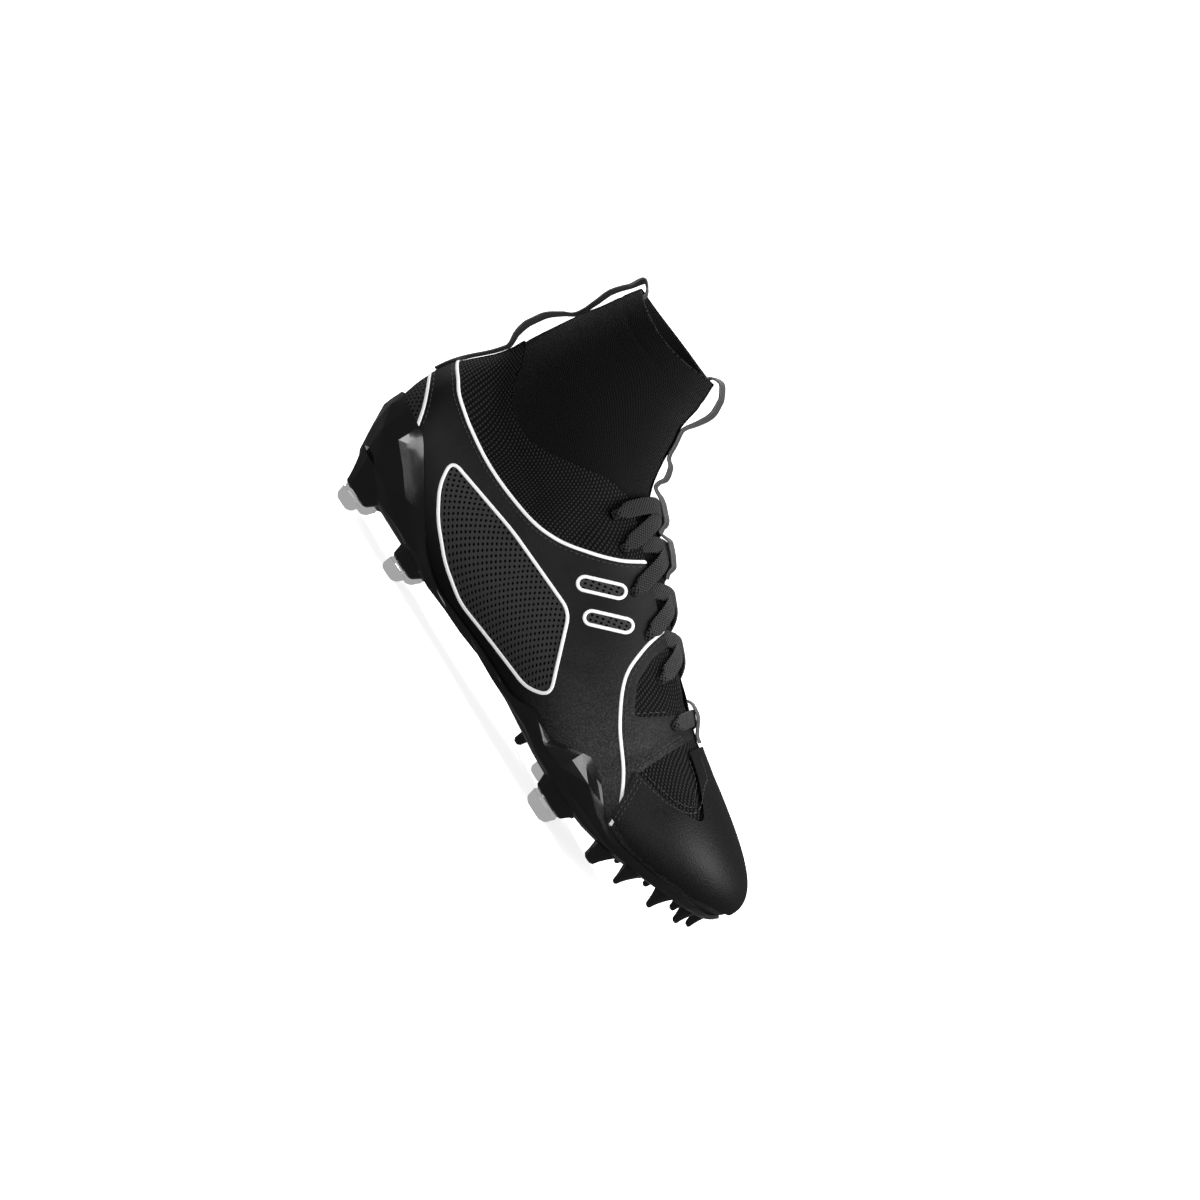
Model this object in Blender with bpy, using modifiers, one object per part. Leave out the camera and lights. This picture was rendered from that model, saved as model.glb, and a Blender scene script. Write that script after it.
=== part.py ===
"""High-top american football cleat for the right foot, in metres, +Z up.

The toe points to +X and the outer (lateral) side faces -Y. The origin is on the ground,
below the middle of the shoe. One family of upright stations runs round the last: a fan
about the heel, level stations along the foot, and a fan about the toe. Each station holds
one profile, from the sole's middle line round the feather corner to the ridge or the
collar. Upper, plate, insole, tongue and overlay are skins on that one surface.
"""

from math import cos, pi, radians, sin

import bmesh
import bpy
import numpy as np
from mathutils import Matrix, Vector

MM = 0.001

# Driving dimensions
LENGTH = 298 * MM            # heel to toe
BALL_WIDTH = 96 * MM         # upper, across the ball
STUD_HEIGHT = 13.8 * MM      # ground to the plate's underside at the heel
INSTEP_RISE = 108 * MM       # bottom of the upper to the instep ridge
SHAFT_RISE = 51.5 * MM       # instep ridge to the collar rim
ANKLE_WIDTH = 59 * MM        # sock, across, where it enters the upper
TOE_SPRING = 21.3 * MM       # rise of the last's bottom at the toe
TOE_SWING = 5 * MM           # how far the toe tip lies to the inner side
HEEL_CENTRE = 36 * MM        # middle of the heel fan, from the heel's back
HEEL_ROOM = 1 * MM           # how far the upper's back lies inside the shoe's length
HEEL_CORNER = 21.5 * MM      # run of the feather corner at the heel's back
HEEL_BULGE = 47.5 * MM       # height of the widest point at the heel's back
TOE_CENTRE = 58 * MM         # middle of the toe fan, from the toe's tip
TOE_CORNER = 9 * MM
TOE_BULGE = 11 * MM
GAP = 0.3 * MM               # between pieces that touch
SEAT_GAP = 0.5 * MM          # between the curved upper and the plate

# Walls
UPPER_WALL = 2.2 * MM
EDGE_WALL = 1.2 * MM         # the upper's wall, thinned at its opening
PLATE_WALL = 2.4 * MM
SOCK_WALL = 2.0 * MM
TONGUE_WALL = 3.0 * MM
INSOLE_WALL = 3.5 * MM
OVERLAY_WALL = 0.9 * MM
LASTING_MARGIN = 9 * MM
RIBBON_WIDTH = 10 * MM
RIBBON_WALL = 1.2 * MM
LACE_WIDTH = 8.0 * MM
LACE_WALL = 1.3 * MM
EYELET_RADIUS = 2.4 * MM
EYELET_INSET = 11 * MM       # eyelet's centre to the throat's edge
TIP_HEIGHT = 7.5 * MM
LOOP_HEIGHT = 7.6 * MM       # a pull ribbon's highest loop, off what it lies on

# What follows from them
HALF = BALL_WIDTH / 2
BASE = STUD_HEIGHT + PLATE_WALL + GAP
HEEL_X = HEEL_CENTRE
TOE_X = LENGTH - TOE_CENTRE
INSTEP_TOP = BASE + INSTEP_RISE

# Sections of the last. at is a share of LENGTH; outer, inner and corner are shares of half the
# ball width; wide and ridge are shares of INSTEP_RISE; rise and reach are handle shares.
SECTION_COLUMNS = ("at", "outer", "inner", "corner", "wide", "ridge", "rise", "reach")
SECTIONS = (
    (0.121, 0.677, 0.667, 0.292, 0.315, 1.080, 0.42, 0.45),
    (0.201, 0.698, 0.656, 0.260, 0.278, 1.080, 0.42, 0.45),
    (0.268, 0.708, 0.635, 0.240, 0.259, 1.075, 0.42, 0.45),
    (0.336, 0.729, 0.615, 0.229, 0.241, 1.060, 0.45, 0.78),
    (0.403, 0.760, 0.625, 0.219, 0.231, 1.001, 0.45, 0.70),
    (0.470, 0.812, 0.677, 0.208, 0.213, 0.921, 0.45, 0.52),
    (0.537, 0.885, 0.760, 0.198, 0.194, 0.829, 0.45, 0.44),
    (0.604, 0.954, 0.854, 0.188, 0.176, 0.745, 0.44, 0.42),
    (0.671, 1.000, 0.938, 0.177, 0.162, 0.665, 0.46, 0.45),
    (0.721, 1.006, 0.975, 0.167, 0.153, 0.599, 0.50, 0.50),
    (0.765, 0.992, 0.975, 0.167, 0.149, 0.570, 0.52, 0.55),
    (0.806, 0.971, 0.960, 0.167, 0.146, 0.545, 0.55, 0.58),
)

# The last's bottom: at is a share of LENGTH, lift a share of TOE_SPRING above BASE.
BOTTOM = ((0.00, 0.0), (0.30, 0.0), (0.37, 0.07), (0.45, 0.145), (0.50, 0.155), (0.56, 0.108),
          (0.62, 0.038), (0.69, 0.014), (0.755, 0.07), (0.805, 0.20), (0.855, 0.427),
          (0.903, 0.662), (0.94, 0.836), (0.97, 1.0), (1.0, 1.15))

# The plate's rim, above the last's bottom: at is a share of LENGTH, lift a share of CUP_HEIGHT.
CUP_HEIGHT = 37 * MM
RIM = ((0.0, 0.98), (0.053, 1.0), (0.093, 0.98), (0.134, 0.81), (0.175, 0.60), (0.222, 0.365),
       (0.26, 0.185), (0.314, 0.06), (0.35, 0.035), (0.50, 0.035), (0.53, 0.08), (0.575, 0.25),
       (0.612, 0.25), (0.655, 0.44), (0.685, 0.575), (0.72, 0.50), (0.78, 0.245), (0.825, 0.15),
       (0.90, 0.13), (1.0, 0.115))

# The crease of the plate's side, as a share of the way from its corner to its rim.
CREASE = ((0.0, 0.80), (0.05, 0.66), (0.10, 0.42), (0.17, 0.30), (0.30, 0.40), (0.50, 0.40),
          (0.60, 0.45), (0.70, 0.52), (0.80, 0.50), (1.0, 0.50))

# The collar seam on the upper: at is a share of LENGTH, lift a share of INSTEP_RISE above BASE.
COLLAR = ((0.040, 0.925), (0.060, 0.905), (0.080, 0.865), (0.103, 0.785), (0.138, 0.722),
          (0.181, 0.702), (0.228, 0.745), (0.284, 0.843), (0.327, 0.915), (0.375, 0.945))

# Half the throat's gap: at is a share of LENGTH, half a share of half the ball width.
THROAT_START = 0.371
THROAT_END = 0.7195
BLEND_START = 0.295          # where the collar's side begins to turn into the throat's
THROAT = ((0.371, 0.415), (0.436, 0.385), (0.503, 0.345), (0.570, 0.302), (0.638, 0.260),
          (0.680, 0.215), (0.700, 0.165), (0.712, 0.10), (THROAT_END, 0.0))

# Level slices of the ankle sock. lift runs from the instep ridge (0) to the rim (1); back and
# front are shares of LENGTH; half is a share of half the ankle width.
SLICE_COLUMNS = ("lift", "back", "front", "half")
SLICES = (
    (1.07, 0.0830, 0.277, 0.905),
    (0.84, 0.0745, 0.294, 0.920),
    (0.62, 0.0685, 0.304, 0.930),
    (0.47, 0.0625, 0.319, 0.945),
    (0.28, 0.0570, 0.336, 0.965),
    (0.10, 0.0525, 0.356, 0.980),
    (-0.03, 0.0495, 0.377, 0.990),
    (-0.15, 0.0475, 0.404, 0.992),
    (-0.35, 0.0475, 0.450, 0.990),
    (-0.60, 0.0480, 0.490, 0.985),
    (-0.80, 0.0490, 0.510, 0.965),
    (-1.00, 0.0520, 0.520, 0.940),
)

# Eyelets: at is a share of LENGTH, and the way down from the throat's edge one of EYELET_INSET.
EYELETS = ((0.374, 0.91), (0.426, 0.955), (0.493, 1.0), (0.564, 1.0), (0.634, 1.09),
           (0.706, 1.545))


def column(table, names, name):
    """One named column of a table, as an array."""
    return np.array([row[names.index(name)] for row in table], float)


def read(xs, ys, x):
    """Monotone cubic through the points (xs, ys), read at x: slopes are harmonic means of the
    neighbouring steps, and zero where the steps change sign, so the curve never overshoots."""
    xs, ys = np.asarray(xs, float), np.asarray(ys, float)
    x = np.clip(x, xs[0], xs[-1])
    step = np.diff(ys) / np.diff(xs)
    slope = np.zeros(len(xs))
    same = step[:-1] * step[1:] > 0
    slope[1:-1][same] = 2 * step[:-1][same] * step[1:][same] / (step[:-1] + step[1:])[same]
    slope[0], slope[-1] = step[0], step[-1]
    i = np.clip(np.searchsorted(xs, x, side="right") - 1, 0, len(xs) - 2)
    wide = xs[i + 1] - xs[i]
    t = (x - xs[i]) / wide
    return ((1 + 2 * t) * (1 - t) ** 2 * ys[i] + t * (1 - t) ** 2 * wide * slope[i]
            + t * t * (3 - 2 * t) * ys[i + 1] + t * t * (t - 1) * wide * slope[i + 1])


def read_pairs(table, x):
    """A two-column table read at x, a share of LENGTH."""
    return read([row[0] for row in table], [row[1] for row in table], x)


def section(name, x):
    """A column of the sections at x metres from the heel."""
    ats = column(SECTIONS, SECTION_COLUMNS, "at")
    return read(ats, column(SECTIONS, SECTION_COLUMNS, name), x / LENGTH)


def bottom(x):
    """Height of the last's bottom."""
    return BASE + TOE_SPRING * read_pairs(BOTTOM, x / LENGTH)


def swing(x):
    """Sideways shift of the toe towards the inner side, growing with the square of the way."""
    return TOE_SWING * np.clip((x - TOE_X) / TOE_CENTRE, 0, 1.1) ** 2


def half_width(x, side):
    return HALF * section("outer" if side < 0 else "inner", x)


def sock_slice(z):
    """Back x, front x and half width of the sock's ellipse at height z."""
    lift = (z - INSTEP_TOP) / SHAFT_RISE
    lifts = column(SLICES, SLICE_COLUMNS, "lift")[::-1]
    back, front, half = (read(lifts, column(SLICES, SLICE_COLUMNS, name)[::-1], lift)
                         for name in ("back", "front", "half"))
    return back * LENGTH, front * LENGTH, half * ANKLE_WIDTH / 2


def sock_reach(ox, dx, dy, z):
    """Distance from (ox, 0) along (dx, dy) to the sock's ellipse at height z."""
    back, front, half = sock_slice(z)
    mid, long_half = (back + front) / 2, (front - back) / 2
    a = (dx / long_half) ** 2 + (dy / half) ** 2
    b = 2 * dx * (ox - mid) / long_half ** 2
    c = ((ox - mid) / long_half) ** 2 - 1
    return (-b + np.sqrt(np.maximum(b * b - 4 * a * c, 0))) / (2 * a)


def collar_height(x):
    return BASE + INSTEP_RISE * read_pairs(COLLAR, x / LENGTH)


def throat_half(x):
    """Half the throat's gap at x, nought beyond its end."""
    return np.where(x >= THROAT_END * LENGTH - 1e-9, 0.0, HALF * read_pairs(THROAT, x / LENGTH))


def bezier(p0, p1, p2, p3, t):
    t = t[:, None]
    return (1 - t) ** 3 * p0 + 3 * (1 - t) ** 2 * t * p1 + 3 * (1 - t) * t * t * p2 + t ** 3 * p3


class Station:
    """One upright half-plane: it starts at (x, 0) and runs along (dx, dy)."""

    def __init__(self, x, angle, zone):
        self.x, self.zone = x, zone
        self.dx, self.dy = cos(angle), sin(angle)
        if abs(self.dx) < 1e-9:
            self.dx = 0.0
        self.side = -1 if self.dy < 0 else 1
        self.end = abs(self.dx)
        half = half_width(x, self.side)
        corner = HALF * section("corner", x)
        wide = INSTEP_RISE * section("wide", x)
        blend = self.end ** 2
        self.power = 2.0
        if zone == "heel":
            self.reach = self.oval(HEEL_CENTRE - HEEL_ROOM, half, 2.15)
            corner += (HEEL_CORNER - corner) * blend
            wide += (HEEL_BULGE - wide) * blend
            self.power -= 0.40 * blend
        elif zone == "toe":
            self.reach = self.oval(TOE_CENTRE, half, 2.1)
            corner += (TOE_CORNER - corner) * blend
            wide += (TOE_BULGE - wide) * blend
        else:
            self.reach = half
        self.corner_start = self.reach - corner
        self.floor = float(bottom(self.x + self.dx * self.corner_start))
        self.wide = self.floor + wide
        self.throat = zone == "side" and x >= THROAT_START * LENGTH
        self.collared = zone == "heel" or (zone == "side" and not self.throat)

    def oval(self, along, across, power):
        return ((abs(self.dx) / along) ** power + (abs(self.dy) / across) ** power) ** (-1 / power)

    def lower(self, count):
        """The feather corner, from the flat bottom to the widest point: a superellipse quarter."""
        a = np.linspace(0, pi / 2, count)
        out = np.sin(a) ** (2 / self.power)
        up = 1 - np.cos(a) ** (2 / self.power)
        r = self.corner_start + (self.reach - self.corner_start) * out
        return np.stack((r, self.floor + (self.wide - self.floor) * up), 1)

    def ridge_line(self, count):
        """From the widest point over to the ridge: one cubic with an upright first handle."""
        top = BASE + INSTEP_RISE * float(section("ridge", self.x))
        slope = 0.2 * self.end if self.zone == "toe" else 0.0
        rise = (top - self.wide) * float(section("rise", self.x))
        reach = self.reach * float(section("reach", self.x))
        p0, p3 = np.array((self.reach, self.wide)), np.array((0.0, top))
        return bezier(p0, p0 + (0, rise), p3 + (reach, -slope * reach), p3,
                      np.linspace(0, 1, count))

    def collar_line(self, count):
        """From the widest point up to the collar seam, ending along the sock's own wall. Near
        the throat it turns into the ridge line, so that the two kinds of station join."""
        z = collar_height(self.x + self.dx * self.reach)
        for _ in range(4):
            r = sock_reach(self.x, self.dx, self.dy, z)
            z = collar_height(self.x + self.dx * r)
        lean = (sock_reach(self.x, self.dx, self.dy, z)
                - sock_reach(self.x, self.dx, self.dy, z - 2 * MM)) / (2 * MM)
        p0 = np.array((self.reach, self.wide))
        p3 = np.array((r + GAP + EDGE_WALL, z))
        hand = 0.42 * (z - self.wide) / (1 + lean * lean)
        rise = (0.42 + (0.12 * self.end if self.zone == "heel" else 0.0)) * (z - self.wide)
        line = bezier(p0, p0 + (0, rise), p3 - (lean * hand, hand), p3, np.linspace(0, 1, count))
        share = np.clip((self.x / LENGTH - BLEND_START) / (THROAT_START - BLEND_START), 0, 1)
        if self.zone == "heel" or share <= 0:
            return line
        ridge = self.ridge_line(count)
        ridge = np.vstack((ridge[ridge[:, 0] > p3[0]],
                           (p3[0], np.interp(-p3[0], -ridge[:, 0], ridge[:, 1]))))
        ridge = spaced(ridge, count)
        ridge += (p3 - ridge[-1]) * np.linspace(0, 1, count)[:, None] ** 2
        share = share * share * (3 - 2 * share)
        return spaced(line, count) * (1 - share) + ridge * share

    def side_line(self, count=60):
        """The side up to the opening's edge, or to the ridge where the last is closed."""
        if self.collared:
            return self.collar_line(count)
        line = self.ridge_line(count)
        gap = float(throat_half(self.x)) if self.zone == "side" else 0.0
        if gap <= 0:
            return line
        keep = line[line[:, 0] > gap]
        edge = (gap, np.interp(-gap, -line[:, 0], line[:, 1]))
        return np.vstack((keep, edge))

    def place(self, line):
        """Profile points (r, z) put in space."""
        x = self.x + self.dx * line[:, 0]
        return np.stack((x - LENGTH / 2, self.dy * line[:, 0] + swing(x), line[:, 1]), 1)

    def floor_points(self, radii):
        """Points on the last's bottom at these distances."""
        radii = np.asarray(radii, float)
        return np.stack((radii, bottom(self.x + self.dx * radii)), 1)


def spaced(line, count=None, shares=None):
    """A polyline read again at even shares, or at the given shares, of its own length."""
    run = np.concatenate(((0,), np.cumsum(np.linalg.norm(np.diff(line, axis=0), axis=1))))
    shares = np.linspace(0, 1, count) if shares is None else np.asarray(shares)
    return np.stack([np.interp(shares * run[-1], run, line[:, i]) for i in range(line.shape[1])], 1)


HEEL_STEPS = 7
SIDE_STEPS = 16
TOE_STEPS = 10


def all_stations():
    """Stations in a closed round: heel, outer side, toe, inner side."""
    level = list(np.linspace(HEEL_X, 0.690 * LENGTH, SIDE_STEPS))
    level += [share * LENGTH for share in (0.702, 0.712, THROAT_END)]
    level += list(np.linspace(THROAT_END * LENGTH, TOE_X, 4)[1:])
    stations = [Station(HEEL_X, pi + i * pi / 2 / HEEL_STEPS, "heel") for i in range(HEEL_STEPS)]
    stations += [Station(x, -pi / 2, "side") for x in level]
    stations += [Station(TOE_X, -pi / 2 + i * pi / TOE_STEPS, "toe") for i in range(1, TOE_STEPS)]
    stations += [Station(x, pi / 2, "side") for x in reversed(level)]
    stations += [Station(HEEL_X, pi / 2 + i * pi / 2 / HEEL_STEPS, "heel")
                 for i in range(1, HEEL_STEPS)]
    return stations


# Blender helpers

def clear_scene():
    for ob in list(bpy.data.objects):
        bpy.data.objects.remove(ob, do_unlink=True)


def collection(name):
    found = bpy.data.collections.new(name)
    bpy.context.scene.collection.children.link(found)
    return found


def material(name, colour, roughness, metallic=0.0):
    made = bpy.data.materials.new(name)
    made.use_nodes = True
    shader = made.node_tree.nodes["Principled BSDF"]
    shader.inputs["Base Color"].default_value = (*colour, 1)
    shader.inputs["Roughness"].default_value = roughness
    shader.inputs["Metallic"].default_value = metallic
    return made


def add_object(name, mesh, where, look=None):
    ob = bpy.data.objects.new(name, mesh)
    where.objects.link(ob)
    if look:
        mesh.materials.append(look)
    return ob


def mesh_from(bm, name):
    mesh = bpy.data.meshes.new(name)
    bm.to_mesh(mesh)
    bm.free()
    return mesh


def grid_mesh(points, closed):
    """A welded sheet from points[station][row]; faces turn outwards when the stations run round
    the shoe from heel by the outer side to the toe, and the rows run upwards."""
    bm = bmesh.new()
    rows = [[bm.verts.new(p) for p in line] for line in points]
    pairs = list(zip(rows, rows[1:])) + ([(rows[-1], rows[0])] if closed else [])
    for here, there in pairs:
        for j in range(len(here) - 1):
            bm.faces.new((here[j], there[j], there[j + 1], here[j + 1]))
    bmesh.ops.remove_doubles(bm, verts=bm.verts, dist=0.02 * MM)
    bmesh.ops.dissolve_degenerate(bm, dist=0.01 * MM, edges=bm.edges)
    bmesh.ops.triangulate(bm, faces=bm.faces, quad_method="FIXED")
    bm.normal_update()
    return bm


def lift_sheet(bm, lift):
    """Every point moved along its own normal."""
    moves = [v.normal * lift for v in bm.verts]
    for v, move in zip(bm.verts, moves):
        v.co += move
    bm.normal_update()


def thicken(ob, thickness, outwards, weights=None):
    """A wall on the sheet. weights gives each point's share of the thickness."""
    solid = ob.modifiers.new("Wall", "SOLIDIFY")
    solid.thickness = thickness
    solid.offset = 1.0 if outwards else -1.0
    solid.use_even_offset = False
    solid.use_rim = True
    if weights is not None:
        group = ob.vertex_groups.new(name="thickness")
        for index, weight in enumerate(weights):
            group.add([index], float(weight), "REPLACE")
        solid.vertex_group = group.name
    return solid


def boolean(ob, other, operation):
    cut = ob.modifiers.new(operation.title(), "BOOLEAN")
    cut.operation = operation
    cut.solver = "EXACT"
    cut.object = other
    return cut


def hide_tool(ob):
    ob.hide_render = True
    ob.display_type = "WIRE"


def tapered(name, where, foot, head, foot_size, head_size, look=None, sides=8, turn=0.0):
    """A tapered block between two level ends: a cone primitive with each end set to its size."""
    bm = bmesh.new()
    bmesh.ops.create_cone(bm, cap_ends=True, segments=sides, radius1=0.5, radius2=0.5, depth=2)
    spin = Matrix.Rotation(turn, 3, "Z") @ Matrix.Rotation(pi / sides, 3, "Z")
    for v in bm.verts:
        at, size = (foot, foot_size) if v.co.z < 0 else (head, head_size)
        flat = Matrix.Rotation(pi / sides, 3, "Z") @ Vector((v.co.x, v.co.y, 0))
        flat = Matrix.Rotation(turn, 3, "Z") @ Vector((flat.x * size[0], flat.y * size[1], 0))
        v.co = Vector(at) + flat
    return add_object(name, mesh_from(bm, name), where, look)


# The upper

SIDE_SHARES = (0.06, 0.14, 0.27, 0.43, 0.61, 0.80, 1.0)


def climb_rows(station):
    """The corner from the flat bottom up to the plate's rim, with one row on the crease, and
    the rest of the side above it. Upper and plate share the rows, so they run parallel."""
    line = np.vstack((station.lower(40)[:-1], station.side_line(80)))
    x_rim = station.x + station.dx * station.reach
    top = station.floor + CUP_HEIGHT * float(read_pairs(RIM, x_rim / LENGTH))
    count = int(np.searchsorted(line[:, 1], top))
    crease = float(read_pairs(CREASE, x_rim / LENGTH))
    cup = spaced(line[:count], shares=(0, crease / 3, 2 * crease / 3, crease, (1 + crease) / 2, 1))
    return cup, spaced(line[count - 1:], shares=SIDE_SHARES)


def upper_rows(station):
    """The upper's outer profile, from the lasting margin to the opening."""
    margin = station.floor_points((station.corner_start - LASTING_MARGIN,))
    return station.place(np.vstack((margin, *climb_rows(station))))


def make_upper(stations, where, tools, look):
    bm = grid_mesh([upper_rows(s) for s in stations], True)
    edge = {v.index for v in bm.verts if v.is_boundary and v.co.z > BASE + TOE_SPRING}
    weights = [EDGE_WALL / UPPER_WALL if i in edge else 1.0 for i in range(len(bm.verts))]
    ob = add_object("upper", mesh_from(bm, "upper"), where, look)
    thicken(ob, UPPER_WALL, False, weights)
    boolean(ob, eyelet_punches(tools), "DIFFERENCE")
    return ob


def eyelet(at, share, side):
    """Centre and outward direction of one eyelet, inset from the opening's edge."""
    station = Station(at * LENGTH, side * pi / 2, "side")
    line = station.side_line(120)[::-1]
    run = np.cumsum(np.linalg.norm(np.diff(line, axis=0), axis=1))
    spot = int(np.searchsorted(run, share * EYELET_INSET)) + 1
    centre = station.place(line[spot:spot + 1])[0]
    along = line[spot] - line[spot - 1]
    return Vector(centre), Vector((0, side * abs(along[1]), abs(along[0]))).normalized()


def eyelet_punches(tools):
    """One cutter with a round punch through each eyelet."""
    bm = bmesh.new()
    for at, share in EYELETS:
        for side in (-1, 1):
            centre, out = eyelet(at, share, side)
            turn = Vector((0, 0, 1)).rotation_difference(out).to_matrix().to_4x4()
            bmesh.ops.create_cone(bm, cap_ends=True, segments=8, radius1=EYELET_RADIUS,
                                  radius2=EYELET_RADIUS, depth=4 * UPPER_WALL,
                                  matrix=Matrix.Translation(centre) @ turn)
    ob = add_object("eyelet_punches", mesh_from(bm, "eyelet_punches"), tools)
    hide_tool(ob)
    return ob


# The plate and its studs

FLOOR_SHARES = (0.0, 0.5)


def plate_rows(station):
    """The plate's inner profile: the flat bottom, then the corner up to the rim."""
    floor = station.floor_points([station.corner_start * share for share in FLOOR_SHARES])
    return station.place(np.vstack((floor, climb_rows(station)[0])))


PLATE_SHARES = (1.0, 1.0, 1.0, 0.85, 0.85, 1.0, 0.75, 0.45)


def make_plate(stations, where, tools, look):
    rows = [plate_rows(s) for s in stations]
    bm = grid_mesh(rows, True)
    lift_sheet(bm, SEAT_GAP)
    weights = plate_weights(bm, rows)
    ob = add_object("outsole_plate", mesh_from(bm, "outsole_plate"), where, look)
    thicken(ob, PLATE_WALL, True, weights)
    seat = seat_cutter(stations, tools)
    for name, stud in STUDS.items():
        block = stud_block(f"{name}_block", stud, tools)
        boolean(block, seat, "DIFFERENCE")
        boolean(ob, block, "UNION")
    return ob


def plate_weights(bm, rows):
    """Each point's share of the wall, by the row that it came from."""
    flat = np.concatenate(rows)
    share = np.tile(PLATE_SHARES, len(rows))
    weights = []
    for v in bm.verts:
        near = np.argmin(((flat - np.array(v.co - v.normal * SEAT_GAP)) ** 2).sum(1))
        weights.append(share[near])
    return weights


def seat_cutter(stations, tools):
    """The space inside the plate and the upper's sides, which trims the roots of the studs."""
    rows = []
    for station in stations:
        floor = station.floor_points([station.corner_start * share for share in FLOOR_SHARES])
        cup, side = climb_rows(station)
        rows.append(station.place(np.vstack((floor, cup, side[:4]))))
    bm = grid_mesh(rows, True)
    lift_sheet(bm, SEAT_GAP + 0.4 * PLATE_WALL)
    rim = [e for e in bm.edges if e.is_boundary]
    grown = bmesh.ops.extrude_edge_only(bm, edges=rim)["geom"]
    top = [v for v in grown if isinstance(v, bmesh.types.BMVert)]
    for v in top:
        v.co.z = BASE + INSTEP_RISE
    bmesh.ops.contextual_create(bm, geom=[e for e in bm.edges if e.is_boundary])
    bmesh.ops.recalc_face_normals(bm, faces=bm.faces)
    ob = add_object("seat_cutter", mesh_from(bm, "seat_cutter"), tools)
    hide_tool(ob)
    return ob


STUD_RISE = 8 * MM           # how far a stud's root runs up past the last's bottom
TOE_STUD_RISE = 3.5 * MM
TOE_STUD_DROP = 13 * MM      # from the last's bottom down to a toe stud's point

# Studs of the heel and the ball. at is a share of LENGTH; inward (towards the inner side), the
# lengths and widths of tip and root and the root's shift on and out are shares of half the ball
# width. drop, the way from the last's bottom down to a dark stud's point, is a share of
# STUD_HEIGHT; a stud with no drop has a bright tip, and stands on the ground.
STUD_COLUMNS = ("name", "at", "inward", "tip", "tip_wide", "root", "root_wide", "on", "out", "drop")
STUD_TABLE = (
    ("heel_rear_outer", 0.1074, -0.365, 0.229, 0.156, 0.750, 0.458, 0.021, -0.021, 0),
    ("heel_rear_inner", 0.1074, 0.365, 0.229, 0.156, 0.750, 0.458, 0.021, 0.021, 0),
    ("heel_front_outer", 0.2450, -0.396, 0.229, 0.156, 0.667, 0.417, 0.083, -0.021, 0),
    ("heel_front_inner", 0.2450, 0.396, 0.229, 0.156, 0.667, 0.417, 0.083, 0.021, 0),
    ("ball_outer", 0.6980, -0.750, 0.312, 0.188, 0.792, 0.458, 0.021, 0, 0),
    ("ball_inner", 0.6376, 0.708, 0.229, 0.146, 0.500, 0.354, 0.021, 0, 0),
    ("waist_inner", 0.5738, 0.625, 0.094, 0.073, 0.417, 0.292, 0.021, 0, 1.225),
    ("fore_inner", 0.7181, 0.771, 0.125, 0.104, 0.458, 0.333, 0, 0, 1.065),
    ("fore_outer", 0.8087, -0.750, 0.135, 0.104, 0.500, 0.333, 0, 0, 0.891),
)

# Toe studs: fan angle in degrees (outer side negative); inset from the edge and root length are
# shares of half the ball width.
TOE_STUDS = ((-65, 0.187, 0.396), (-40, 0.177, 0.354), (-17, 0.167, 0.292), (6, 0.125, 0.250),
             (30, 0.167, 0.312), (55, 0.177, 0.354), (80, 0.187, 0.396))
TOE_STUD_TIP = (0.067, 0.050)
TOE_STUD_LEAN = 0.0625


class Stud:
    """One stud between its tip and its root. x is measured from the heel, inward from the middle
    line to the inner side; shift moves the root; foot is the tip's height off the ground."""

    def __init__(self, x, inward, tip, root, shift, foot, rise, bright=False, turn=0.0):
        self.tip_at = np.array((x - LENGTH / 2, inward + float(swing(x)), foot))
        root_x, root_y = x + shift[0], self.tip_at[1] + shift[1]
        self.root_at = np.array((root_x - LENGTH / 2, root_y, float(bottom(root_x)) + rise))
        self.tip, self.root, self.bright, self.turn = np.array(tip), np.array(root), bright, turn

    def level(self, z):
        """Centre and size at height z."""
        t = (z - self.tip_at[2]) / (self.root_at[2] - self.tip_at[2])
        centre = self.tip_at + (self.root_at - self.tip_at) * t
        return centre, self.tip + (self.root - self.tip) * t


def table_stud(row):
    """A stud of the table."""
    at, inward, tip, tip_wide, root, root_wide, on, out, drop = row[1:]
    x = at * LENGTH
    foot = float(bottom(x)) - drop * STUD_HEIGHT if drop else 0.0
    return Stud(x, inward * HALF, (tip * HALF, tip_wide * HALF), (root * HALF, root_wide * HALF),
                (on * HALF, out * HALF), foot, STUD_RISE, bright=not drop)


def toe_stud(angle, inset, root):
    """A pointed stud near the toe's edge, in the direction of one fan angle."""
    a = radians(angle)
    station = Station(TOE_X, a, "toe")
    out = station.reach - inset * HALF
    x = TOE_X + cos(a) * out
    lean = -TOE_STUD_LEAN * HALF
    return Stud(x, sin(a) * out, [share * HALF for share in TOE_STUD_TIP],
                (root * HALF, 0.8 * root * HALF), (lean * cos(a), lean * sin(a)),
                float(bottom(x)) - TOE_STUD_DROP, TOE_STUD_RISE, turn=a)


def all_studs():
    studs = {f"stud_{row[0]}": table_stud(row) for row in STUD_TABLE}
    for index, row in enumerate(TOE_STUDS):
        studs[f"stud_toe_{index + 1}"] = toe_stud(*row)
    return studs


def stud_block(name, stud, tools):
    """The stud above its bright tip, or all of it, run into the plate."""
    foot_z = stud.tip_at[2] + (TIP_HEIGHT + GAP if stud.bright else 0)
    foot, foot_size = stud.level(foot_z)
    head, head_size = stud.level(stud.root_at[2])
    block = tapered(name, tools, foot, head, foot_size, head_size, turn=stud.turn)
    hide_tool(block)
    return block


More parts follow.
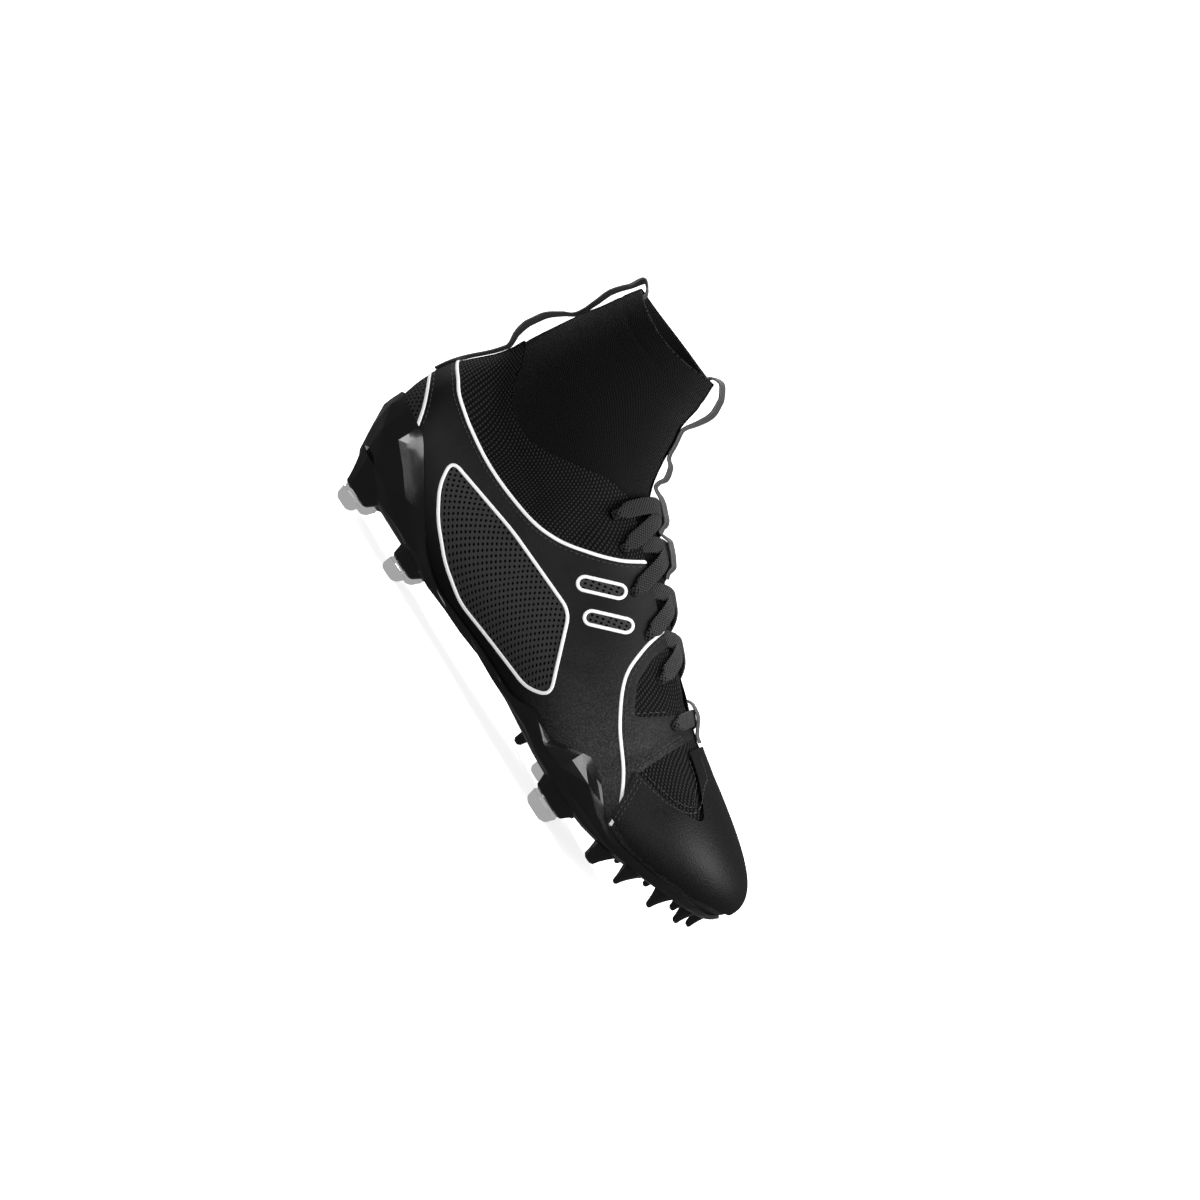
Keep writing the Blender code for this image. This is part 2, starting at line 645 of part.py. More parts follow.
def make_tips(where, look):
    for name, stud in STUDS.items():
        if stud.bright:
            foot, foot_size = stud.level(0.0)
            head, head_size = stud.level(TIP_HEIGHT)
            tip = tapered(name.replace("stud", "tip"), where, foot, head, foot_size, head_size, look)
            bevel = tip.modifiers.new("Round", "BEVEL")
            bevel.width = 0.8 * MM
            bevel.segments = 1
            bevel.limit_method = "ANGLE"
            bevel.angle_limit = radians(60)


# The sock, tongue and insole

SOCK_COLUMNS = 26
SOCK_ROWS = 8
SOCK_TUCK = 8 * MM
TUCK_INSET = 2.8 * MM        # how far it draws in below the seam, inside the upper's wall
RIM_DIP = 3.6 * MM           # how far the rim lies lower at the sides
SOCK_FRONT = THROAT_START * LENGTH + 1.7 * MM


def make_sock(where, look):
    """Level ellipses between the rim and a lower edge that follows the collar seam."""
    lines = []
    for angle in np.linspace(0, 2 * pi, SOCK_COLUMNS, endpoint=False) + pi:
        lean = (1 + cos(angle)) / 2
        rim = INSTEP_TOP + SHAFT_RISE * (1 + 0.068 * lean) - RIM_DIP * sin(angle) ** 2
        seam = INSTEP_TOP - 0.35 * SHAFT_RISE
        for _ in range(12):
            back, front, _half = sock_slice(seam)
            there = collar_height((back + front) / 2 + (front - back) / 2 * cos(angle))
            seam += 0.6 * (there - seam)
        low = seam - SOCK_TUCK
        z = np.concatenate(((low, low + 0.6 * SOCK_TUCK), np.linspace(seam, rim, SOCK_ROWS - 2)))
        back, front, half = sock_slice(z)
        inset = TUCK_INSET * np.clip((seam - z) / (0.4 * SOCK_TUCK), 0, 1)
        x = (back + front) / 2 + ((front - back) / 2 - inset) * cos(angle)
        lines.append(np.stack((x - LENGTH / 2, (half - inset) * sin(angle), z), 1))
    bm = grid_mesh(lines, True)
    cut = (SOCK_FRONT - LENGTH / 2, 0, 0)
    bmesh.ops.bisect_plane(bm, geom=bm.verts[:] + bm.edges[:] + bm.faces[:], plane_co=cut,
                           plane_no=(1, 0, 0), clear_outer=True)
    ob = add_object("ankle_sock", mesh_from(bm, "ankle_sock"), where, look)
    thicken(ob, SOCK_WALL, False)
    return ob


TONGUE_END = 0.745
TONGUE_TUCK = 8 * MM
TONGUE_STEPS = 12
TUCK_GAP = 0.6 * MM          # extra room for the tongue where it lies under the upper


def make_tongue(where, tools, look):
    """Across each station from one tucked edge over the ridge to the other, trimmed level with
    the sock's lower front edge."""
    lines = []
    for x in np.linspace(SOCK_FRONT - TONGUE_WALL, TONGUE_END * LENGTH, TONGUE_STEPS):
        halves = []
        for side in (-1, 1):
            station = Station(x, side * pi / 2, "side")
            line = station.ridge_line(60)
            out = max(float(throat_half(x)), 0.06 * HALF) + TONGUE_TUCK
            line = line[line[:, 0] <= out]
            halves.append(station.place(spaced(line, 6)))
        lines.append(np.vstack((halves[0], halves[1][::-1][1:])))
    bm = grid_mesh(lines, False)
    lift_sheet(bm, -(UPPER_WALL + GAP + TUCK_GAP))
    ob = add_object("tongue", mesh_from(bm, "tongue"), where, look)
    thicken(ob, TONGUE_WALL, False)
    block = bmesh.new()
    bmesh.ops.create_cube(block, size=LENGTH)
    bmesh.ops.translate(block, verts=block.verts,
                        vec=(SOCK_FRONT + GAP - LENGTH, 0, INSTEP_TOP))
    behind = add_object("tongue_trim", mesh_from(block, "tongue_trim"), tools)
    hide_tool(behind)
    boolean(ob, behind, "DIFFERENCE")
    return ob


def make_insole(stations, where, look):
    """A footbed inside the upper, on its flat bottom."""
    lines = []
    for station in stations:
        radii = [station.corner_start * share for share in (*FLOOR_SHARES, 1.0)]
        lines.append(station.place(station.floor_points(radii)))
    bm = grid_mesh(lines[::2], True)
    lift_sheet(bm, -(UPPER_WALL + GAP + 2 * TUCK_GAP))
    ob = add_object("insole", mesh_from(bm, "insole"), where, look)
    thicken(ob, INSOLE_WALL, False)
    return ob


# The toe overlay

# Its outline from the side: at is a share of LENGTH, lift a share of the toe overlay's height
# above BASE. The notch is the V of the vamp's mesh.
OVERLAY_TOP = 66 * MM
OVERLAY = ((0.775, 0.215), (0.755, 0.40), (0.738, 0.535), (0.800, 0.60), (0.850, 0.680),
           (0.858, 0.725), (0.845, 0.765), (0.795, 0.850), (0.754, 0.895), (0.754, 1.20),
           (1.05, 1.20), (1.05, 0.50), (0.985, 0.435), (0.955, 0.37), (0.92, 0.325),
           (0.875, 0.255), (0.825, 0.205))


def make_overlay(stations, where, tools, look):
    """Cut from a thin skin over the upper: both lie on the same rows, so they run parallel."""
    near = [s for s in stations if s.zone == "toe" or (s.zone == "side" and s.x > 0.66 * LENGTH)]
    bm = grid_mesh([upper_rows(s)[1:] for s in near], False)
    lift_sheet(bm, SEAT_GAP)
    ob = add_object("toe_overlay", mesh_from(bm, "toe_overlay"), where, look)
    thicken(ob, OVERLAY_WALL, True)
    outline = [(at * LENGTH - LENGTH / 2, BASE + lift * OVERLAY_TOP) for at, lift in OVERLAY]
    boolean(ob, prism("overlay_outline", outline, 1.4 * BALL_WIDTH, tools), "INTERSECT")
    return ob


def prism(name, outline, across, tools):
    """A flat outline in X and Z, extruded along Y about the middle."""
    curve = bpy.data.curves.new(name, "CURVE")
    curve.dimensions = "2D"
    curve.fill_mode = "BOTH"
    curve.extrude = across / 2
    spline = curve.splines.new("POLY")
    spline.points.add(len(outline) - 1)
    for point, (x, z) in zip(spline.points, outline):
        point.co = (x, z, 0, 1)
    spline.use_cyclic_u = True
    flat = add_object(name + "_curve", curve, tools)
    flat.rotation_euler = (pi / 2, 0, 0)
    bpy.context.view_layer.update()
    graph = bpy.context.evaluated_depsgraph_get()
    bm = bmesh.new()
    bm.from_mesh(bpy.data.meshes.new_from_object(flat.evaluated_get(graph)))
    bm.transform(flat.matrix_world)
    bmesh.ops.remove_doubles(bm, verts=bm.verts, dist=0.01 * MM)
    bmesh.ops.recalc_face_normals(bm, faces=bm.faces)
    bpy.data.objects.remove(flat, do_unlink=True)
    ob = add_object(name, mesh_from(bm, name), tools)
    hide_tool(ob)
    return ob


# Flat straps: laces, ribbons and tab

class Instep:
    """The closed instep surface over the throat, read as a height over (x, y)."""

    def __init__(self):
        self.xs = np.linspace(0.30 * LENGTH, 0.78 * LENGTH, 40)
        self.ys = np.linspace(-0.85 * HALF, 0.85 * HALF, 61)
        rows = []
        for x in self.xs:
            row = np.empty(len(self.ys))
            for side in (-1, 1):
                line = Station(x, side * pi / 2, "side").ridge_line(80)
                on = self.ys * side >= 0
                row[on] = np.interp(-np.abs(self.ys[on]), -line[:, 0], line[:, 1])
            rows.append(row)
        self.heights = np.array(rows)

    def height(self, x, y):
        i = np.clip((x - self.xs[0]) / (self.xs[1] - self.xs[0]), 0, len(self.xs) - 1.001)
        a = int(i)
        t = i - a
        return ((1 - t) * np.interp(y, self.ys, self.heights[a])
                + t * np.interp(y, self.ys, self.heights[a + 1]))

    def point(self, x, y, lift):
        """A point at this lift above the surface, and the surface's normal."""
        d = 1.5 * MM
        normal = Vector((-(self.height(x + d, y) - self.height(x - d, y)) / (2 * d),
                         -(self.height(x, y + d) - self.height(x, y - d)) / (2 * d), 1)).normalized()
        at = Vector((x - LENGTH / 2, y, self.height(x, y))) + normal * lift
        return at, normal


def strap_mesh(centres, normals, width, wall):
    """A flat strap: a rectangle of width by wall carried along a path, its ends closed."""
    bm = bmesh.new()
    rings = []
    for i, (at, up) in enumerate(zip(centres, normals)):
        ahead = centres[min(i + 1, len(centres) - 1)] - centres[max(i - 1, 0)]
        across = ahead.cross(up).normalized() * width / 2
        thick = up.normalized() * wall / 2
        corners = (at - across - thick, at + across - thick, at + across + thick,
                   at - across + thick)
        rings.append([bm.verts.new(c) for c in corners])
    for here, there in zip(rings, rings[1:]):
        for j in range(4):
            k = (j + 1) % 4
            bm.faces.new((here[j], here[k], there[k], there[j]))
    bm.faces.new(rings[0][::-1])
    bm.faces.new(rings[-1])
    bmesh.ops.recalc_face_normals(bm, faces=bm.faces)
    return bm


LACE_STEPS = 10
LIFT_OUTSIDE = 1.45 * MM     # lace over the upper
LIFT_COLLAR = 3.3 * MM       # lace over the upper's corner at the collar
LIFT_CROSSING = -0.75 * MM   # lace where two cross over the tongue
LIFT_UNDER = -1.35 * MM      # lace about to pass under the far edge


def lace_strap(instep, start, end, lifts, extra):
    """A strap from start to end in plan, each (x, y); lifts are (share of the way, lift)."""
    centres, normals = [], []
    for t in np.linspace(0, 1, LACE_STEPS):
        x, y = (np.array(start) * (1 - t) + np.array(end) * t)
        lift = float(read([row[0] for row in lifts], [row[1] for row in lifts], t))
        at, up = instep.point(x, y, lift + extra)
        centres.append(at)
        normals.append(up)
    return strap_mesh(centres, normals, LACE_WIDTH, LACE_WALL)


def eyelet_plan(index, side):
    centre, _out = eyelet(*EYELETS[index], side)
    return centre.x + LENGTH / 2, centre.y


def make_laces(instep, where, tools, look):
    """Four crossings and the lowest bar. A crossing's two straps rise from their eyelets, cross
    over the tongue and pass under the far edge at the next eyelets up; the top ones go out over
    the far edge into the last eyelets."""
    for low in range(1, 5):
        straps = []
        for side in (-1, 1):
            start = eyelet_plan(low, side)
            far_x, far_y = eyelet_plan(low - 1, -side)
            gap = float(throat_half(max(far_x, THROAT_START * LENGTH)))
            if low == 1:
                end = (far_x, far_y)
                lifts = ((0, LIFT_OUTSIDE), (0.22, LIFT_OUTSIDE), (0.5, LIFT_CROSSING),
                         (0.78, LIFT_COLLAR), (1, LIFT_COLLAR))
            else:
                end_y = -side * 0.80 * gap
                reach = (end_y - start[1]) / (far_y - start[1])
                end = (start[0] + (far_x - start[0]) * reach, end_y)
                middle = start[1] / (start[1] - end_y)
                lifts = ((0, LIFT_OUTSIDE), (0.42 * middle, LIFT_OUTSIDE),
                         (middle, LIFT_CROSSING), (1, LIFT_UNDER))
            bm = lace_strap(instep, start, end, lifts, 0.2 * MM if side > 0 else 0)
            straps.append(mesh_from(bm, f"lace_{low}"))
        ob = add_object(f"lace_crossing_{5 - low}", straps[0], where, look)
        other = add_object(f"lace_{low}_inner", straps[1], tools)
        hide_tool(other)
        boolean(ob, other, "UNION")
    bar_lifts = ((0, LIFT_OUTSIDE), (1, LIFT_OUTSIDE))
    bm = lace_strap(instep, eyelet_plan(5, -1), eyelet_plan(5, 1), bar_lifts, 0)
    add_object("lace_bar", mesh_from(bm, "lace_bar"), where, look)


def make_tab(instep, where, look):
    """The short tab over the lowest bar, stitched down on the vamp."""
    bar_x = eyelet_plan(5, -1)[0]
    half = LACE_WIDTH / 2
    over = LIFT_OUTSIDE + LACE_WALL / 2 + GAP + RIBBON_WALL / 2 + 0.3 * MM
    down = GAP + RIBBON_WALL / 2 + 0.15 * MM
    route = ((bar_x - half - 3.2 * MM, LIFT_OUTSIDE), (bar_x - half - 1 * MM, over),
             (bar_x, over), (bar_x + half + 0.6 * MM, over), (bar_x + half + 3.5 * MM, down),
             (bar_x + half + 6.4 * MM, down))
    centres, normals = zip(*(instep.point(x, 0, lift) for x, lift in route))
    add_object("throat_tab", mesh_from(strap_mesh(centres, normals, RIBBON_WIDTH, RIBBON_WALL),
                                       "throat_tab"), where, look)


def ribbon(name, guide, outward, table, start, steps, where, look):
    """A pull ribbon in the shoe's middle plane: table gives its lift off the guide line at
    shares of the guide's length, and start the points from inside the rim."""
    run = np.concatenate(((0,), np.cumsum(np.linalg.norm(np.diff(guide, axis=0), axis=1))))
    shares = np.linspace(table[0][0], table[-1][0], steps)
    lifts = CONTACT + (LOOP_HEIGHT - CONTACT) * read([row[0] for row in table],
                                                     [row[1] for row in table], shares)
    at = np.stack([np.interp(shares * run[-1], run, guide[:, i]) for i in (0, 1)], 1)
    slope = np.stack([np.interp(shares * run[-1], run, np.gradient(guide[:, i], run))
                      for i in (0, 1)], 1)
    slope /= np.linalg.norm(slope, axis=1)[:, None]
    normal = np.stack((-slope[:, 1], slope[:, 0]), 1) * outward
    path = np.vstack((start, at + normal * lifts[:, None]))
    tangent = np.gradient(path, axis=0)
    tangent /= np.linalg.norm(tangent, axis=1)[:, None]
    ups = [Vector((-t[1], 0, t[0])) * outward for t in tangent]
    centres = [Vector((x - LENGTH / 2, 0, z)) for x, z in path]
    bm = strap_mesh(centres, ups, RIBBON_WIDTH, RIBBON_WALL)
    return add_object(name, mesh_from(bm, name), where, look)


CONTACT = GAP + RIBBON_WALL / 2 + 0.3 * MM

# Lifts of the two pull ribbons off their guide lines, at shares of the guide's length: 0 lies on
# the shoe, 1 is LOOP_HEIGHT above it.
HEEL_RIBBON = ((0.03, 0.31), (0.12, 0.50), (0.20, 0.22), (0.255, 0), (0.285, 0), (0.34, 0.47),
               (0.42, 0.97), (0.50, 1.0), (0.56, 0.53), (0.61, 0), (0.70, 0), (0.95, 0))
FRONT_RIBBON = ((0.03, 0.90), (0.09, 1.0), (0.17, 0.56), (0.25, 0), (0.36, 0), (0.405, 0.53),
                (0.455, 0.625), (0.505, 0.0625), (0.522, 0.094), (0.55, 0.594), (0.61, 0.6875),
                (0.688, 0.656), (0.714, 0), (0.730, 0), (0.756, 0.578), (0.82, 0.6875),
                (0.882, 0.594), (0.915, 0), (0.945, 0))
RIBBON_STEPS = 38
RIM_ROOM = 1.1 * MM          # the rim curves in beside a ribbon


def sock_rim(end):
    """Height of the rim at the front (+1) or the back (-1)."""
    return INSTEP_TOP + SHAFT_RISE * (1 + 0.068 * (1 + end) / 2)


def rim_start(x, z, outward):
    """Ribbon points from inside the sock's wall up over its rim."""
    inside = x - outward * (SOCK_WALL + GAP + RIBBON_WALL / 2 + RIM_ROOM)
    return np.array(((inside, z - 8 * MM), (inside, z - 1 * MM),
                     (inside + outward * 0.8 * MM, z + 1.6 * MM),
                     (x - outward * 0.2 * MM, z + 3.6 * MM), (x + outward * 2.6 * MM, z + 3.6 * MM)))


def make_ribbons(where, look):
    zs = np.linspace(sock_rim(-1), collar_height(0.045 * LENGTH), 24)
    heel = Station(HEEL_X, pi, "heel")
    outer = spaced(heel.side_line(), 24)[::-1]
    back = np.vstack((np.stack((sock_slice(zs)[0], zs), 1),
                      np.stack((heel.x - outer[1:, 0], outer[1:, 1]), 1)))
    top = back[0]
    ribbon("heel_pull_ribbon", back, -1.0, HEEL_RIBBON, rim_start(top[0], top[1], -1.0),
           RIBBON_STEPS, where, look)
    seam = SOCK_FRONT
    zs = np.linspace(sock_rim(1), INSTEP_TOP - 0.01 * SHAFT_RISE, 24)
    xs = np.linspace(seam, 0.52 * LENGTH, 20)
    crown = BASE + INSTEP_RISE * section("ridge", xs) - (UPPER_WALL + GAP + TUCK_GAP) * 1.1
    front = np.vstack((np.stack((sock_slice(zs)[1], zs), 1), np.stack((xs, crown), 1)[1:]))
    top = front[0]
    ribbon("front_pull_ribbon", front, 1.0, FRONT_RIBBON, rim_start(top[0], top[1], 1.0),
           RIBBON_STEPS, where, look)


def main():
    clear_scene()
    parts, tools = collection("football_cleat"), collection("cutters")
    knit = material("knit", (0.02, 0.02, 0.022), 0.9)
    smooth = material("smooth_upper", (0.012, 0.012, 0.013), 0.5)
    grained = material("grained_toe", (0.02, 0.02, 0.02), 0.6)
    gloss = material("moulded_plate", (0.01, 0.01, 0.01), 0.15)
    bright = material("bright_tip", (0.8, 0.8, 0.8), 0.1, 1.0)
    lace = material("woven_lace", (0.02, 0.02, 0.02), 0.85)
    tape = material("ribbon", (0.05, 0.05, 0.05), 0.5)
    stations = all_stations()
    make_upper(stations, parts, tools, smooth)
    make_plate(stations, parts, tools, gloss)
    make_tips(parts, bright)
    make_sock(parts, knit)
    make_tongue(parts, tools, knit)
    make_insole(stations, parts, knit)
    make_overlay(stations, parts, tools, grained)
    instep = Instep()
    make_laces(instep, parts, tools, lace)
    make_tab(instep, parts, tape)
    make_ribbons(parts, tape)


STUDS = all_studs()

if __name__ == "__main__":
    main()
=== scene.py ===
"""The looks of a high-top american football cleat for the right foot, dressed round its frame.

Every skin of the shoe is worked out from one last. A family of upright half-planes runs round it:
a fan about the heel, level ones along the foot, and a fan about the toe. A place on the last is
u, the way along the shoe from the heel's back (0) to the toe's tip (LENGTH), and a share of the
profile from the lasting margin up to the ridge, the throat or the collar.
"""

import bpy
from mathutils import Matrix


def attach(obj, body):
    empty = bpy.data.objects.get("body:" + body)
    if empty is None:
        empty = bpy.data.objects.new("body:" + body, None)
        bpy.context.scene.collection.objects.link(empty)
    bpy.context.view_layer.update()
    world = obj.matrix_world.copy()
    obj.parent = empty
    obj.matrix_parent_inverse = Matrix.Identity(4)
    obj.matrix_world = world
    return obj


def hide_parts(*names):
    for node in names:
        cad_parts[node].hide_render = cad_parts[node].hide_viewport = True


bl_info = {
    "name": "Football Cleat Looks",
    "version": (1, 0, 0),
    "blender": (4, 5, 0),
    "location": "3D View > Sidebar > Cleat",
    "description": "Dresses a high-top football cleat with knit, panels, laces and a moulded plate",
    "category": "Add Mesh",
}

from functools import partial, partialmethod
from math import cos, pi, radians, sin

import bmesh
import bpy
import numpy as np
from bpy.props import FloatProperty, FloatVectorProperty, PointerProperty
from mathutils import Matrix, Vector

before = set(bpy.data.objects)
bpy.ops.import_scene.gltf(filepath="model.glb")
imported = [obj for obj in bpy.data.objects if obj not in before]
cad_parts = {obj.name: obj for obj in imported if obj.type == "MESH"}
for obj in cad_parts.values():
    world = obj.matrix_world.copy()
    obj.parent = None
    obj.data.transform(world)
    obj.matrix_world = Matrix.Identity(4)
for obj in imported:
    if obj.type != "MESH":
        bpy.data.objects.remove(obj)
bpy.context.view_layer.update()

MM = 0.001
WHITE = (1, 1, 1, 1)
FINE_WELD = 0.002 * MM

# The last, as the frame was built
LENGTH = 298 * MM
BALL_WIDTH = 96 * MM
STUD_HEIGHT = 13.8 * MM
INSTEP_RISE = 108 * MM
SHAFT_RISE = 51.5 * MM
ANKLE_WIDTH = 59 * MM
TOE_SPRING = 21.3 * MM
TOE_SWING = 5 * MM
HEEL_CENTRE = 36 * MM
HEEL_ROOM = 1 * MM
HEEL_CORNER = 21.5 * MM
HEEL_BULGE = 47.5 * MM
TOE_CENTRE = 58 * MM
TOE_CORNER = 9 * MM
TOE_BULGE = 11 * MM
CUP_HEIGHT = 37 * MM
GAP = 0.3 * MM
BED_GAP = 0.5 * MM           # between the last and the plate or the toe overlay

# Walls
UPPER_WALL = 2.2 * MM
LIP_WALL = 0.7 * MM          # the upper's wall at the collar and the throat
PLATE_WALL = 2.4 * MM
SOCK_WALL = 2.0 * MM
TONGUE_WALL = 3.0 * MM
INSOLE_WALL = 3.5 * MM
OVERLAY_WALL = 0.9 * MM
LASTING_MARGIN = 9 * MM
EYELET_RADIUS = 2.4 * MM
EYELET_INSET = 11 * MM
TIP_HEIGHT = 7.5 * MM
LOOP_HEIGHT = 7.6 * MM
TUCK_GAP = 0.6 * MM
RIBBON_WIDTH = 10 * MM
RIBBON_WALL = 1.2 * MM
LACE_LIFT = 1.45 * MM        # a lace's middle line over the instep
RIM_LEAN = 0.068             # how much higher the sock's rim is in front, as a share

# The throat, and where the collar's rays begin to turn into it, as shares of LENGTH
BLEND_START = 0.295
THROAT_START = 0.371
THROAT_END = 0.7195

HALF = BALL_WIDTH / 2
BASE = STUD_HEIGHT + PLATE_WALL + GAP
TOE_X = LENGTH - TOE_CENTRE
INSTEP_TOP = BASE + INSTEP_RISE
SEAM_X = THROAT_START * LENGTH + 1.7 * MM     # where the sock ends and the tongue begins

# Sections of the last. at is a share of LENGTH; outer, inner and corner are shares of half the
# ball width; wide and ridge are shares of INSTEP_RISE; rise and reach are handle shares.
SECTION_COLUMNS = ("at", "outer", "inner", "corner", "wide", "ridge", "rise", "reach")
SECTIONS = (
    (0.121, 0.677, 0.667, 0.292, 0.315, 1.080, 0.42, 0.45),
    (0.201, 0.698, 0.656, 0.260, 0.278, 1.080, 0.42, 0.45),
    (0.268, 0.708, 0.635, 0.240, 0.259, 1.075, 0.42, 0.45),
    (0.336, 0.729, 0.615, 0.229, 0.241, 1.060, 0.45, 0.78),
    (0.403, 0.760, 0.625, 0.219, 0.231, 1.001, 0.45, 0.70),
    (0.470, 0.812, 0.677, 0.208, 0.213, 0.921, 0.45, 0.52),
    (0.537, 0.885, 0.760, 0.198, 0.194, 0.829, 0.45, 0.44),
    (0.604, 0.954, 0.854, 0.188, 0.176, 0.745, 0.44, 0.42),
    (0.671, 1.000, 0.938, 0.177, 0.162, 0.665, 0.46, 0.45),
    (0.721, 1.006, 0.975, 0.167, 0.153, 0.599, 0.50, 0.50),
    (0.765, 0.992, 0.975, 0.167, 0.149, 0.570, 0.52, 0.55),
    (0.806, 0.971, 0.960, 0.167, 0.146, 0.545, 0.55, 0.58),
)

# Heights of the last's bottom, the plate's rim, the crease of its side and the collar seam.
BOTTOM = ((0.00, 0.0), (0.30, 0.0), (0.37, 0.07), (0.45, 0.145), (0.50, 0.155), (0.56, 0.108),
          (0.62, 0.038), (0.69, 0.014), (0.755, 0.07), (0.805, 0.20), (0.855, 0.427),
          (0.903, 0.662), (0.94, 0.836), (0.97, 1.0), (1.0, 1.15))
RIM = ((0.0, 0.98), (0.053, 1.0), (0.093, 0.98), (0.134, 0.81), (0.175, 0.60), (0.222, 0.365),
       (0.26, 0.185), (0.314, 0.06), (0.35, 0.035), (0.50, 0.035), (0.53, 0.08), (0.575, 0.25),
       (0.612, 0.25), (0.655, 0.44), (0.685, 0.575), (0.72, 0.50), (0.78, 0.245), (0.825, 0.15),
       (0.90, 0.13), (1.0, 0.115))
CREASE = ((0.0, 0.80), (0.05, 0.66), (0.10, 0.42), (0.17, 0.30), (0.30, 0.40), (0.50, 0.40),
          (0.60, 0.45), (0.70, 0.52), (0.80, 0.50), (1.0, 0.50))
COLLAR = ((0.040, 0.925), (0.060, 0.905), (0.080, 0.865), (0.103, 0.785), (0.138, 0.722),
          (0.181, 0.702), (0.228, 0.745), (0.284, 0.843), (0.327, 0.915), (0.375, 0.945))
THROAT = ((0.371, 0.415), (0.436, 0.385), (0.503, 0.345), (0.570, 0.302), (0.638, 0.260),
          (0.680, 0.215), (0.700, 0.165), (0.712, 0.10), (THROAT_END, 0.0))

# Level slices of the ankle sock: lift runs from the instep ridge (0) to the rim (1).
SLICE_COLUMNS = ("lift", "back", "front", "half")
SLICES = (
    (1.07, 0.0830, 0.277, 0.905),
    (0.84, 0.0745, 0.294, 0.920),
    (0.62, 0.0685, 0.304, 0.930),
    (0.47, 0.0625, 0.319, 0.945),
    (0.28, 0.0570, 0.336, 0.965),
    (0.10, 0.0525, 0.356, 0.980),
    (-0.03, 0.0495, 0.377, 0.990),
    (-0.15, 0.0475, 0.404, 0.992),
    (-0.35, 0.0475, 0.450, 0.990),
    (-0.60, 0.0480, 0.490, 0.985),
    (-0.80, 0.0490, 0.510, 0.965),
    (-1.00, 0.0520, 0.520, 0.940),
)

# Eyelets: at is a share of LENGTH, and the way down from the throat's edge one of EYELET_INSET.
EYELETS = ((0.374, 0.91), (0.426, 0.955), (0.493, 1.0), (0.564, 1.0), (0.634, 1.09),
           (0.706, 1.545))


# Curves and the last, as whole arrays

def column(table, names, name):
    """The values of one named column of a table."""
    return np.array([row[names.index(name)] for row in table], float)


def read(table, x):
    """Monotone cubic through the rows (x, y) of a table: slopes are harmonic means of the
    neighbouring steps, and zero where the steps change sign, so the curve never overshoots."""
    xs, ys = np.array([row[0] for row in table], float), np.array([row[1] for row in table], float)
    x = np.clip(x, xs[0], xs[-1])
    step = np.diff(ys) / np.diff(xs)
    slope = np.zeros(len(xs))
    same = step[:-1] * step[1:] > 0
    slope[1:-1][same] = 2 * step[:-1][same] * step[1:][same] / (step[:-1] + step[1:])[same]
    slope[0], slope[-1] = step[0], step[-1]
    i = np.clip(np.searchsorted(xs, x, side="right") - 1, 0, len(xs) - 2)
    wide = xs[i + 1] - xs[i]
    t = (x - xs[i]) / wide
    return ((1 + 2 * t) * (1 - t) ** 2 * ys[i] + t * (1 - t) ** 2 * wide * slope[i]
            + t * t * (3 - 2 * t) * ys[i + 1] + t * t * (t - 1) * wide * slope[i + 1])


def section(name, x):
    """A column of the sections at x metres from the heel."""
    ats = column(SECTIONS, SECTION_COLUMNS, "at")
    return read(list(zip(ats, column(SECTIONS, SECTION_COLUMNS, name))), x / LENGTH)


def bottom(x):
    """Height of the last's bottom: its curve times the toe spring."""
    return BASE + TOE_SPRING * read(BOTTOM, x / LENGTH)


def swing(x):
    """Sideways shift of the toe towards the inner side, growing with the square of the way."""
    return TOE_SWING * np.clip((x - TOE_X) / TOE_CENTRE, 0, 1.1) ** 2


def sock_slice(z):
    """Back x, front x and half width of the sock's ellipse at height z."""
    lift = (z - INSTEP_TOP) / SHAFT_RISE
    lifts = column(SLICES, SLICE_COLUMNS, "lift")[::-1]
    back, front, half = (read(list(zip(lifts, column(SLICES, SLICE_COLUMNS, name)[::-1])), lift)
                         for name in ("back", "front", "half"))
    return back * LENGTH, front * LENGTH, half * ANKLE_WIDTH / 2


def sock_reach(ox, dx, dy, z):
    """Distance from (ox, 0) along (dx, dy) to the sock's ellipse at height z: the larger root
    of the quadratic that puts the moving point on the ellipse."""
    back, front, half = sock_slice(z)
    mid, long_half = (back + front) / 2, (front - back) / 2
    a = (dx / long_half) ** 2 + (dy / half) ** 2
    b = 2 * dx * (ox - mid) / long_half ** 2
    c = ((ox - mid) / long_half) ** 2 - 1
    return (-b + np.sqrt(np.maximum(b * b - 4 * a * c, 0))) / (2 * a)


def collar_height(x):
    """Height of the collar seam: its curve times the instep's rise."""
    return BASE + INSTEP_RISE * read(COLLAR, x / LENGTH)


def throat_half(u):
    """Half the throat's gap, nought beyond its end."""
    return np.where(u >= THROAT_END * LENGTH - 1e-7, 0.0, HALF * read(THROAT, u / LENGTH))


def smooth_step(x, low, high):
    """0 below low, 1 above high, and 3t^2 - 2t^3 between."""
    t = np.clip((x - low) / (high - low), 0, 1)
    return t * t * (3 - 2 * t)


def row_interp(at, xs, ys):
    """np.interp for each row of arrays at once. xs rises along each row; the rows are laid end to
    end, each moved past the one before, and read in one call."""
    low, span = xs.min(), xs.max() - xs.min() + 1.0
    move = (2 * span * np.arange(len(xs)))[:, None]
    at = np.clip(at, xs[:, :1], xs[:, -1:])
    return np.interp((at - low + move).ravel(), (xs - low + move).ravel(),
                     ys.ravel()).reshape(at.shape)


def run_length(points, axis=1):
    """The way run along an axis of a grid of points: nought, then the sum of the steps."""
    step = np.linalg.norm(np.diff(points, axis=axis), axis=-1)
    return np.concatenate((np.zeros_like(step.take([0], axis)), np.cumsum(step, axis)), axis)


